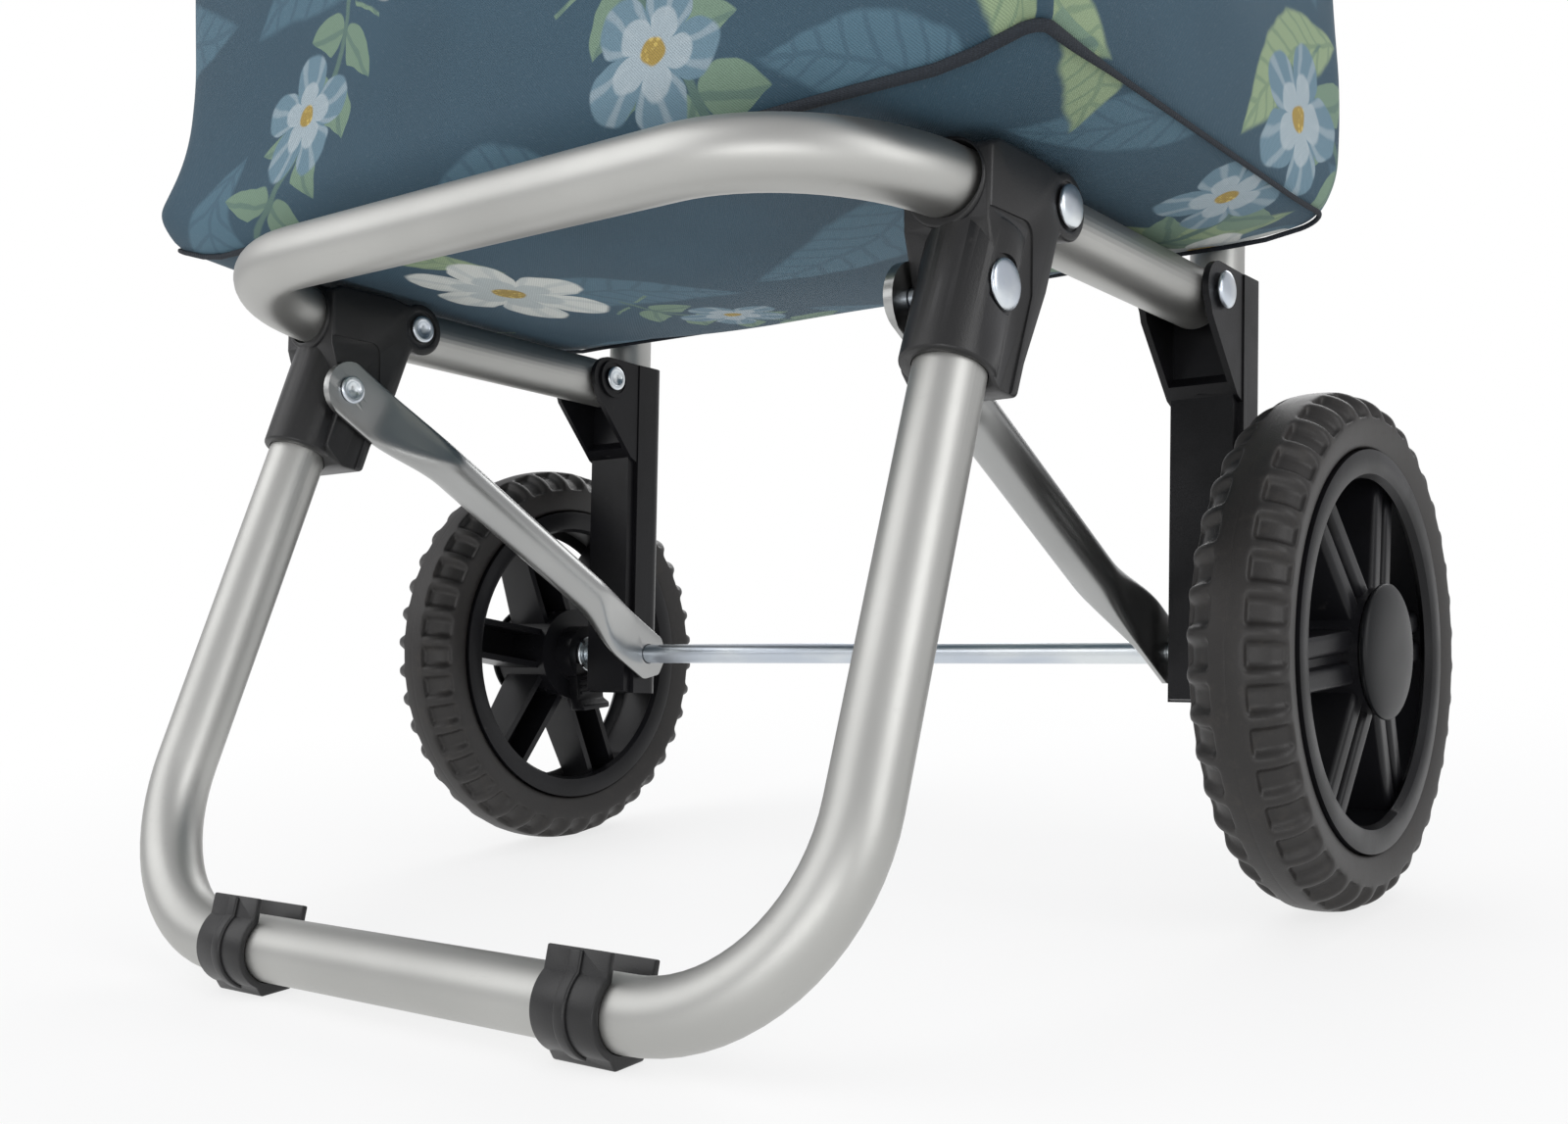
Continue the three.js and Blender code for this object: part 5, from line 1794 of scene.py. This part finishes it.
    def latch_slot(self) -> Piece:
        """The room in which the latch slides.

        Returns:
            The cutter.
        """
        half, top, drop = 8.3, -2.0, -29.5
        front, back = self.hub_inner - 2.5 + LAYOUT.gap, self.hub_inner + 5.9
        corners = ((front, -half), (back, -half), (back, half), (front, half))
        return Bench.plate([(x, y, top) for x, y in corners], (0, 0, drop))

    def tyre(self) -> Piece:
        """Spins the tyre, then presses a row of pockets into each shoulder.

        Returns:
            The tyre.
        """
        inner = [(r, -x) for r, x in self.shoulder]
        tyre = Bench.turned([*inner, *self.shoulder[-2::-1], inner[0]], self.lugs * self.steps_per_lug)
        for vertex in tyre.data.vertices:
            vertex.co -= self.pocket(*vertex.co)
        return Bench.smooth(tyre)

    def pocket(self, x: float, y: float, z: float) -> Vector:
        """How far a point of the tread is pressed in, as a round-edged pocket between two lugs.

        Args:
            x: Millimetres along the wheel's axis.
            y: Millimetres back from it.
            z: Millimetres up from it.

        Returns:
            The move inward.
        """
        far = math.hypot(y, z)
        phase = (math.atan2(z, y) * self.lugs / TURN) % 1
        between = 1 - ease(abs(phase - 0.5) * 2, 0.42, 0.82)
        depth = self.pocket_depth * between * ease(abs(x), 5.0, 6.8) * ease(far, 73.2, 76.4)
        return Vector((0.45 * math.copysign(1.0, x), 0.85 * y / far, 0.85 * z / far)) * depth

    def hub_cap(self) -> Piece:
        """Turns the domed cap.

        Returns:
            The cap.
        """
        r, face = self.cap, self.half_width + 1.3
        start = face + self.cap_rim
        foot = [(0, face), (r - 2, face), (r - 2, face + 0.9), (r - 0.3, face + 1.1), (r, face + 1.5)]
        dome = [(r * c ** 0.8, start + self.cap_rise * s) for c, s in arc((0, 0), 1, 0, 90, 18)[:-1]]
        return Bench.turned([*foot, *dome, (0, start + self.cap_rise)], 96)

    def latch(self) -> Piece:
        """The tab under the hub, with a hooked lip and three finger ribs.

        Returns:
            The tab.
        """
        near, far, thick, lip, half = 9.0, 24.5, 5.0, 3.4, 8.0
        start = self.hub_inner + LAYOUT.gap
        hook = [(0, -near), (thick, -near), (thick, -far), (-lip, -far), (-lip, 2.4 - far), (0, 4.4 - far)]
        tab = Bench.plate([(start + x, -half, z) for x, z in hook], (0, 2 * half, 0))
        Bench.bevel(tab, 0.6, 2)
        corners = ((-0.7, 2 - half), (-0.7, half - 2), (0.5, half - 2), (0.5, 2 - half))
        for i in range(3):
            rib = [(start + x, y, 7 - far + 2.6 * i) for x, y in corners]
            Bench.combine(tab, Bench.plate(rib, (0, 0, 1.1)))
        return tab


# ---------------------------------------------------------------------------- foot clips and grip


@dataclass(frozen=True)
class FootClip:
    """Clip snapped round the foot bar: a band with two lips, a middle rib and a flat sole."""

    length: float = 22.4
    sole: float = 3.1
    band: float = 2.1
    sole_half: float = 5.2
    sole_flare: float = 2.6
    lip_reach: float = 9.45
    lip_top: float = 14.4
    tilt: float = 19.0
    rib: float = 0.9
    rib_length: float = 4.0
    offset: float = 74.0

    def build(self) -> None:
        """Models one clip and sets it down on both sides."""
        bar = LAYOUT.chassis() @ at(0, LAYOUT.foot_bar)
        up = (LAYOUT.tube + LAYOUT.gap + self.sole) * MM
        where = Matrix.Translation((0, bar.y, up)) @ Matrix.Scale(MM, 4)
        clip = Bench.shift(self.clip(), self.offset, 0, 0)
        Bench.set_down_pair(clip, "foot_clip", SATIN_BLACK_WITH_PAINTED_LIGHT, where)

    def clip(self) -> Piece:
        """One clip about the foot bar's axis.

        Returns:
            The clip.
        """
        inner, half = LAYOUT.tube + LAYOUT.gap, self.length / 2
        outer, reach = inner + self.band, self.lip_reach
        body = Bench.bevel(self.wrap(reach, outer, self.lip_top, half), 0.5, 2, 40)
        rib = self.wrap(reach + self.rib, outer + self.rib, self.lip_top - 0.4, self.rib_length / 2)
        Bench.bevel(rib, 0.6, 3, 40)
        floor, flat, wide = -inner - self.sole, self.sole_half, self.sole_half + self.sole_flare
        outline = [(-wide, floor * 0.6), (-flat, floor), (flat, floor), (wide, floor * 0.6)]
        foot = Bench.bevel(Bench.side_plate(outline, -half, half), 0.7, 3, 20)
        Bench.combine(body, foot, rib)
        return Bench.cut(body, Bench.pin(inner, -half - 1, half + 1, LAYOUT.axle, 72))

    def wrap(self, reach: float, outer: float, lip: float, half: float) -> Piece:
        """The band with its lips, tipped with the foot loop.

        Args:
            reach: Outer face of the lips from the axis.
            outer: Outer radius of the band.
            lip: Height of the lips' ends above the axis.
            half: Half its length along the bar.

        Returns:
            The band.
        """
        inner, inside = LAYOUT.tube + LAYOUT.gap, reach - self.band
        inner_turn = math.degrees(math.acos(inside / inner))
        outer_turn = math.degrees(math.acos(reach / outer))
        shape = [
            (inside, lip),
            *arc((0, 0), inner - 0.4, inner_turn, inner_turn - 180 - 2 * inner_turn, 44),
            (-inside, lip),
            (-reach, lip),
            *arc((0, 0), outer, 180 - outer_turn, 360 + outer_turn, 48),
            (reach, lip),
        ]
        band = Bench.side_plate(shape, -half, half)
        band.data.transform(Matrix.Rotation(math.radians(-self.tilt), 4, "X"))
        return band


@dataclass(frozen=True)
class Grip:
    """Foam grip with finger ribs on the handle's cross run."""

    radius: float = 13.6
    ribs: int = 5
    rib_height: float = 1.4
    steps_per_rib: int = 12
    length: float = 150.0
    plain: float = 12.0

    def build(self) -> None:
        """Turns the grip and sets it down."""
        r, half, inner = self.radius, self.length / 2, LAYOUT.upright + LAYOUT.gap
        rim = [(inner, -half), (r - 2.2, -half), (r - 0.6, 0.6 - half), (r, 2.4 - half)]
        step = (self.length - 2 * self.plain) / (self.ribs * self.steps_per_rib)
        waves = []
        for i in range(self.ribs * self.steps_per_rib + 1):
            dip = 0.5 - 0.5 * math.cos(TURN * i / self.steps_per_rib)
            waves.append((r - self.rib_height * dip ** 0.8, self.plain - half + step * i))
        grip = Bench.turned([*rim, *waves, *((a, -x) for a, x in reversed(rim)), (inner, -half)])
        Bench.shift(grip, *at(0, Tubes().handle_top()))
        Bench.set_down(grip, "handle_grip", FOAM, crease=60)


# ---------------------------------------------------------------------------- the bag


@dataclass(frozen=True)
class BagShape:
    """The sewn bag as a surface: the half width at each height, the sag of its base, and its folds."""

    back: float = 8.9
    front: float = 203.0
    base_half: float = 187.2
    waist_half: float = 183.2
    waist_up: float = 182.0
    corner: float = 26.0
    seam_corners: tuple = (6.0, 13.0, 12.0, 9.0)
    tuck: float = 3.8
    tuck_rise: float = 19.0
    back_rise: float = 6.5
    back_run: float = 34.0
    front_tuck: float = 2.0
    front_rise: float = 5.0
    front_run: float = 30.0
    skew: tuple = (-2.8, 5.2)
    skew_gone: tuple = (340.0, 600.0)
    seat_back: float = 126.9
    seat_front: float = 131.7
    edge_rise: tuple = (14.5, 12.0)
    sag: float = 9.0
    split_up: float = 275.0
    mouth_up: float = 690.0
    per_corner: int = 10
    per_side: int = 30

    def middle(self) -> float:
        """Half way between its back and its front."""
        return (self.back + self.front) / 2

    def shift(self, up: float) -> float:
        """How far the cloth hangs to the right of the frame's middle at a height."""
        settled = blend(*self.skew, ease(up, self.seat_front, self.waist_up))
        return settled * (1 - ease(up, *self.skew_gone))

    def corners(self, up: float) -> list[float]:
        """Radii of the four corners at a height: pinched at the seam, rounder above."""
        loose = ease(up, self.seat_front + 2, self.seat_front + 75)
        return [blend(pinched, self.corner, loose) for pinched in self.seam_corners]

    def half_width(self, up: float) -> float:
        """Half width at a height: wide at the base board, drawn in above it."""
        return blend(self.base_half, self.waist_half, ease(up, self.seat_front, self.waist_up))

    def base_height(self, x: float, forward: float) -> float:
        """Height of the base: hung between the tubes and turned up past them.

        Args:
            x: Millimetres to the right of the middle.
            forward: Millimetres ahead of the axle.

        Returns:
            The height above the axle.
        """
        inner, outer = LAYOUT.side_x - LAYOUT.tube, LAYOUT.side_x + LAYOUT.tube
        inside = max(0.0, 1 - abs(x) / inner)
        share = (forward - self.back) / (self.front - self.back)
        dip = self.sag * math.sin(inside * math.pi / 2) * math.sin(math.pi * clamp(share))
        past = max(0.0, abs(x) - outer) / (self.base_half - outer)
        rear = self.back_rise * (1 - ease(forward, self.back, self.back + self.back_run))
        lip = self.front_rise * ease(forward, self.front - self.front_run, self.front)
        rise = (rear + lip) * max(0.0, 1 - past) + self.edge_rise[x > 0] * past ** 1.5
        return blend(self.seat_back, self.seat_front, share) - dip + rise

    def plan(self, up: float, inset: float) -> list[tuple]:
        """Its outline in plan at a height.

        Args:
            up: The height above the axle.
            inset: How far it is drawn in.

        Returns:
            Evenly spread points as (x, forward).
        """
        half, front = self.half_width(up) - inset, self.front - inset * self.front_tuck
        steps = (self.per_corner, self.per_side)
        outline = rounded(half, self.back + inset, front, self.corners(up), *steps)
        shift = self.shift(up)
        return [(x + shift, forward) for x, forward in outline]

    def ring(self, up: float) -> list[Vector]:
        """Points round the wall at a height, with the cloth's folds."""
        share = clamp((up - self.seat_front) / self.tuck_rise)
        tucked = self.tuck * (1 - math.sin(share * math.pi / 2)) ** 1.4
        return [self.folded(x, forward, up) for x, forward in self.plan(up, tucked)]

    def folded(self, x: float, forward: float, up: float) -> Vector:
        """A wall point, moved by the cloth's bulge and folds.

        Args:
            x: Millimetres to the right.
            forward: Millimetres ahead of the axle.
            up: Millimetres above it.

        Returns:
            The point.
        """
        middle = self.middle()
        outward = Vector((x / self.waist_half, (forward - middle) / (self.front - middle)))
        face = "front" if outward.y > 0.9 else "side" if abs(outward.x) > 0.9 else "back"
        rise = ease(up, self.seat_front + 6, self.seat_front + 70)
        rise *= 1 - ease(up, self.mouth_up - 90, self.mouth_up)
        across = x if face == "front" else forward
        wave = math.sin(across * 0.031 + up * 0.021) + 0.6 * math.sin(across * 0.073 - up * 0.046 + 1.3)
        wave += 0.5 * math.sin(across * 0.012 + up * 0.062 + 2.1)
        depth = {"front": 0.9, "side": 0.8, "back": 0.35}[face] * rise * wave
        push = Vector([part if abs(part) > 0.9 else 0.0 for part in outward])
        push.normalize()
        return Vector((x + push.x * depth, -(forward + push.y * depth), up))


SHAPE = BagShape()


class Cloth:
    """Skins sewn from rings, with cloth coordinates in metres."""

    @staticmethod
    def skin(rings: Sequence[Sequence[Vector]], around: Sequence[Vector]) -> Piece:
        """A skin over rings, marked with cloth coordinates.

        Args:
            rings: Its rings.
            around: The ring that distances round the cloth are measured on.

        Returns:
            The skin.
        """
        drops, girth = [0.0], [0.0]
        for before, after in zip(rings, rings[1:]):
            steps = [(a - b).length for a, b in zip(before, after)]
            drops.append(drops[-1] + sum(steps) / len(steps))
        for here, following in zip(around, [*around[1:], around[0]]):
            girth.append(girth[-1] + (following - here).length)
        piece = Bench.skin(rings)
        count, layer = len(around), piece.data.uv_layers.new(name="cloth")
        for face in piece.data.polygons:
            columns = [corner % count for corner in face.vertices]
            wraps = max(columns) - min(columns) > 1
            for i, corner, column in zip(face.loop_indices, face.vertices, columns):
                reach = girth[count if wraps and column == 0 else column]
                layer.data[i].uv = (reach * MM, drops[corner // count] * MM)
        return piece

    @staticmethod
    def lay_flat(piece: Piece, faces: Sequence[bpy.types.MeshPolygon], start: Point) -> None:
        """Maps faces straight down, since they are a panel of their own.

        Args:
            piece: The skin.
            faces: Its faces.
            start: Where the panel's cloth coordinates start.
        """
        layer = piece.data.uv_layers["cloth"]
        for face in faces:
            for i, corner in zip(face.loop_indices, face.vertices):
                p = piece.data.vertices[corner].co
                layer.data[i].uv = (p.x * MM + start[0], p.y * MM + start[1])

    @classmethod
    def close(cls, piece: Piece, reach: float, start: Point) -> None:
        """Fills the small hole in the middle of a panel and points the faces out.

        Args:
            piece: The skin.
            reach: How far from the panel's middle the hole's edge may be.
            start: Where the panel's cloth coordinates start.
        """
        with Bench.editing(piece, "DESELECT"):
            bpy.ops.object.mode_set(mode="OBJECT")
            for vertex in piece.data.vertices:
                vertex.select = abs(vertex.co.x) < reach and abs(vertex.co.y + SHAPE.middle()) < reach
            bpy.ops.object.mode_set(mode="EDIT")
            bpy.ops.mesh.edge_face_add()
            bpy.ops.mesh.select_all(action="SELECT")
            bpy.ops.mesh.normals_make_consistent(inside=False)
        cls.lay_flat(piece, [piece.data.polygons[-1]], start)


@dataclass(frozen=True)
class Bag:
    """The bag: a tub that hangs on the platform, and the walls above it."""

    wall: float = 1.6
    # The bead's greater front thickness is partly painted shade: the dark bead stands in for the shadow of
    # the fold over the front seam.
    bead: float = 1.6
    side_bead: float = 0.8
    bead_sides: int = 14
    tub_levels: int = 34
    floor_rings: int = 20
    wall_levels: int = 48
    panel_start: tuple = (0.31, 0.17)

    def build(self) -> None:
        """Models the base, the walls and their seams."""
        self.base()
        self.walls()
        self.piping()

    @staticmethod
    def squash(piece: Piece) -> None:
        """Gives a piece its own mesh; the anchor at the skirt line is worked out but not used.

        Args:
            piece: The piece.
        """
        anchor = LAYOUT.chassis() @ at(0, (SHAPE.middle(), SHAPE.split_up))
        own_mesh(piece)

    @staticmethod
    def lifted(ring: Sequence[Vector], up: float) -> list[Vector]:
        """Wall points near the base, raised where the base turns up at the sides.

        Args:
            ring: The wall's points.
            up: Their height above the axle.

        Returns:
            The raised points.
        """
        near = 1 - ease(up, SHAPE.seat_front, SHAPE.seat_front + 45)
        rises = [near * (SHAPE.base_height(p.x, -p.y) - SHAPE.seat_front) for p in ring]
        return [p + Vector((0, 0, rise)) for p, rise in zip(ring, rises)]

    @staticmethod
    def floor_point(point: Vector) -> Vector:
        """A base point, hung between the tubes with shallow folds.

        Args:
            point: The point, at any height.

        Returns:
            The point on the base.
        """
        x, forward = point.x, -point.y
        fold = 0.5 * math.sin(x * 0.05 + forward * 0.033) + 0.35 * math.sin(x * 0.021 - forward * 0.087 + 0.8)
        free = clamp(3 * (1 - abs(x) / (LAYOUT.side_x - 2 * LAYOUT.tube)))
        return Vector((x, point.y, SHAPE.base_height(x, forward) + fold * free))

    @staticmethod
    def seam() -> list[Vector]:
        """Points along the seam between the walls and the base."""
        flat = SHAPE.plan(SHAPE.seat_front, SHAPE.tuck)
        return [Vector((x, -forward, SHAPE.base_height(x, forward))) for x, forward in flat]

    def base(self) -> None:
        """Lofts the tub down to its seam and in over its base."""
        shares = [(i / self.tub_levels) ** 0.8 for i in range(self.tub_levels)]
        levels = [blend(SHAPE.split_up, SHAPE.seat_front + 1, share) for share in shares]
        walls = [self.lifted(SHAPE.ring(up), up) for up in levels]
        seam, centre = self.seam(), Vector((0, -SHAPE.middle(), 0))
        floor = [
            [self.floor_point(centre.lerp(p, 1 - i / (self.floor_rings + 1))) for p in seam]
            for i in range(1, self.floor_rings + 1)
        ]
        tub = Cloth.skin([*walls, seam, *floor], SHAPE.ring(SHAPE.split_up))
        below = len(walls) * len(seam)
        Cloth.lay_flat(tub, [f for f in tub.data.polygons if min(f.vertices) >= below], self.panel_start)
        Cloth.close(tub, 12.0, self.panel_start)
        Bench.set_down(Bench.thicken(tub, self.wall), "bag_base", TWILL, crease=60)
        self.squash(tub)

    def walls(self) -> None:
        """Lofts the walls above the skirt line, with the cloth print running on."""
        low, high = SHAPE.split_up - 0.6, SHAPE.mouth_up
        levels = [blend(low, high, i / self.wall_levels) for i in range(self.wall_levels, -1, -1)]
        body = Cloth.skin([SHAPE.ring(up) for up in levels], SHAPE.ring(SHAPE.split_up))
        for entry in body.data.uv_layers["cloth"].data:
            entry.uv[1] -= (high - low) * MM
        Bench.set_down(Bench.thicken(body, self.wall), "bag_body", TWILL, crease=60)

    def piping(self) -> None:
        """Runs a dark corded bead along the base's seam. It is thicker along the front, where it also stands
        in as painted shade for the fold over the seam.
        """
        seam = self.seam()
        rings = []
        for before, p, after in zip([seam[-1], *seam], seam, [*seam[1:], seam[0]]):
            run = (after - before).normalized()
            out = run.cross(Vector((0, 0, 1))).normalized()
            up = out.cross(run).normalized()
            centre = p + out * 0.2 - up * 0.3
            thick = blend(self.side_bead, self.bead, ease(-p.y, 150.0, 192.0) * ease(p.x, -190.0, -60.0))
            rings.append([centre + (out * c + up * s) * thick for c, s in circle(self.bead_sides)])
        bead = Bench.seal(Bench.skin([*rings, rings[0]]), 0.01)
        Bench.settle(bead, "bag_base_piping", "bag_base", LAYOUT.chassis(), TAPE_AND_SEAM_SHADE, 60)
        self.squash(bead)


@dataclass(frozen=True)
class Lid:
    """The lid: a crowned cloth flap with a skirt."""

    wall: float = 2.6
    top: float = 3.0
    skirt: float = 38.0
    skirt_run: float = 30.0
    crown: float = 12.0
    crown_rings: int = 12
    reach: float = 3.3

    def build(self) -> None:
        """Lofts the flap and thickens it."""
        rings = self.rings()
        flap = Cloth.skin(rings, rings[2])
        points = flap.data.vertices
        over = [
            face for face in flap.data.polygons
            if min(points[i].co.z for i in face.vertices) > SHAPE.mouth_up + 2
        ]
        Cloth.lay_flat(flap, over, (0.0, 0.0))
        Cloth.close(Bench.seal(flap, 0.05), 8.0, (0.0, 0.0))
        Bench.set_down(Bench.thicken(flap, self.wall), "bag_lid", TWILL, crease=60)

    def drop(self, forward: float) -> float:
        """How far the skirt hangs at a place."""
        return self.skirt * clamp((forward - SHAPE.back - SHAPE.corner) / self.skirt_run)

    def rings(self) -> list[list[Vector]]:
        """Rings from the hem up and in over the crown.

        Returns:
            The rings, the hem's first.
        """
        half, front = SHAPE.waist_half + self.reach, SHAPE.front + self.reach
        plan = rounded(half, SHAPE.back, front, [SHAPE.corner + self.reach] * 4, 8, 20)
        under = SHAPE.mouth_up + LAYOUT.gap
        over = under + self.top
        rings = [[Vector((x, -f, under - self.drop(f) * share)) for x, f in plan] for share in (1.0, 0.5)]
        rings.append([Vector((x, -f, over - 1)) for x, f in plan])
        middle = -SHAPE.middle()
        for i in range(self.crown_rings + 1):
            share = 1 - (i / self.crown_rings) * 0.97
            up = over + self.crown * (1 - share ** 2) - (0.8 if i == 0 else 0)
            rings.append([Vector((x * share * 0.998, blend(middle, -f, share), up)) for x, f in plan])
        return rings


@dataclass(frozen=True)
class SideLoop:
    """Webbing loop that ties the bag's back to an upright."""

    wall: float = 1.8
    height: float = 34.0
    up: float = 610.0
    flare: float = 0.35
    levels: int = 16
    sides: int = 40

    def build(self) -> None:
        """Models the right loop and sets down both."""
        rings = [self.ring(i / self.levels) for i in range(self.levels + 1)]
        loop = Bench.thicken(Bench.skin(rings), self.wall, 1)
        Bench.set_down_pair(loop, "bag_loop", TAPE_AND_SEAM_SHADE)

    def ring(self, share: float) -> list[Vector]:
        """Points round the loop at a height.

        Args:
            share: How far up the loop, from 0 to 1.

        Returns:
            The points.
        """
        centre = at(LAYOUT.side_x, (LAYOUT.upright_forward, self.up + self.height * share))
        inner, flare = LAYOUT.upright + LAYOUT.gap, self.flare * math.cos(TURN * share)
        points = []
        for c, s in circle(self.sides):
            waved = flare * (1 + math.sin(3 * math.atan2(s, c)))
            points.append(centre + Vector(((inner + waved) * c, (inner + flare) * s, 0)))
        return points


# ---------------------------------------------------------------------------- studio


@dataclass(frozen=True)
class View:
    """The camera: its place, its aim and its lens."""

    azimuth: float = 39.27372
    pitch: float = -3.40371
    roll: float = -3.37132
    lens: float = 38.7137
    sensor: float = 36
    shift: tuple = (0.018685, 0.048524)
    clip: tuple = (0.02, 60)
    place: tuple = (0.3758831, -0.5069129, 0.1298105)

    def build(self) -> None:
        """Sets up the scene's camera."""
        a, e, r = (math.radians(v) for v in (self.azimuth, self.pitch, self.roll))
        ahead = Vector((-math.sin(a) * math.cos(e), math.cos(a) * math.cos(e), math.sin(e)))
        level = Vector((math.cos(a), math.sin(a), 0))
        right = level * math.cos(r) + level.cross(ahead) * math.sin(r)
        data = bpy.data.cameras.new("view")
        data.lens, data.sensor_width = self.lens, self.sensor
        data.shift_x, data.shift_y = self.shift
        data.clip_start, data.clip_end = self.clip
        camera = bpy.data.objects.new("view", data)
        bpy.context.scene.collection.objects.link(camera)
        turn = Matrix((right, right.cross(ahead), -ahead)).transposed().to_4x4()
        camera.matrix_world = Matrix.Translation(self.place) @ turn
        bpy.context.scene.camera = camera


@dataclass(frozen=True)
class Lamp:
    """One soft white area lamp."""

    name: str
    place: tuple
    aim: tuple
    size: tuple
    power: float

    def build(self) -> None:
        """Hangs the lamp."""
        data = bpy.data.lights.new(self.name, "AREA")
        data.shape = "RECTANGLE"
        data.size, data.size_y = self.size
        data.energy = self.power
        lamp = bpy.data.objects.new(self.name, data)
        bpy.context.scene.collection.objects.link(lamp)
        aim = (Vector(self.aim) - Vector(self.place)).to_track_quat("-Z", "Y")
        lamp.matrix_world = Matrix.Translation(self.place) @ aim.to_matrix().to_4x4()


@dataclass(frozen=True)
class Studio:
    """White sweep, surrounding light and lamps."""

    surround: float = 0.62
    lamps: tuple = (
        Lamp("key_soft", (-1.5, -1.7, 1.9), (0, 0, 0.25), (2.4, 2.4), 25),
        Lamp("side_soft", (2.1, -0.4, 1.0), (0, 0, 0.2), (1.0, 1.8), 15),
        Lamp("back_soft", (-0.6, 2.2, 1.5), (0, 0, 0.2), (2.2, 1.4), 26),
        Lamp("low_fill", (0.7, -1.9, 0.25), (0, 0, 0.2), (1.6, 0.5), 8),
    )

    def build(self) -> None:
        """Lays the floor, fills the world and hangs the lamps."""
        self.floor()
        self.world()
        for lamp in self.lamps:
            lamp.build()

    @staticmethod
    def floor() -> None:
        """Lays a white floor that fades into the white behind it."""
        Bench.clear()
        bpy.ops.mesh.primitive_grid_add(x_subdivisions=24, y_subdivisions=24, size=24, location=(0, 6, 0))
        floor = Bench.place()
        floor.name = "sweep"
        n = NodeMaker(bpy.data.materials.new("white_sweep"))
        place = n.place()
        x, y, _ = n.split(place)
        far = 0.76 + 0.24 * (x * x + y * y).root().over(0.2, 0.8)
        tint = n.mix(n.noise(place, 90.0) * 0.04, (0.9, 0.9, 0.9, 1), (0.84, 0.84, 0.84, 1))
        matt = n.node("BsdfPrincipled", Base_Color=tint, Roughness=0.7)
        glow = n.node("Emission", Color=(1.0, 1.0, 1.0, 1.0), Strength=1.0)
        floor.data.materials.append(n.end(n.node("MixShader", n0=far, n1=matt, n2=glow), "Material"))

    def world(self) -> None:
        """White to the camera, softer to the light that falls on the object."""
        world = bpy.data.worlds.new("surround")
        bpy.context.scene.world = world
        n = NodeMaker(world)
        soft = (self.surround, self.surround, self.surround * 1.02, 1)
        tint = n.mix(n.node("LightPath", out="Is Camera Ray"), soft, (1, 1, 1, 1))
        n.end(n.node("Background", Color=tint), "World")


# ---------------------------------------------------------------------------- assembly


def main() -> None:
    """Builds the view, the trolley and the studio, in that order."""
    logging.basicConfig(level=logging.INFO, format="%(name)s %(message)s")
    bpy.context.scene.view_settings.view_transform = "Standard"
    View().build()
    for maker in (Tubes(), Leg(), Connector(), Strut(), Pins(), Wheel(), FootClip(), Grip(), Bag(), Lid(),
                  SideLoop()):
        LOG.info("making %s", type(maker).__name__)
        maker.build()
    Studio().build()


if __name__ == "__main__":
    main()
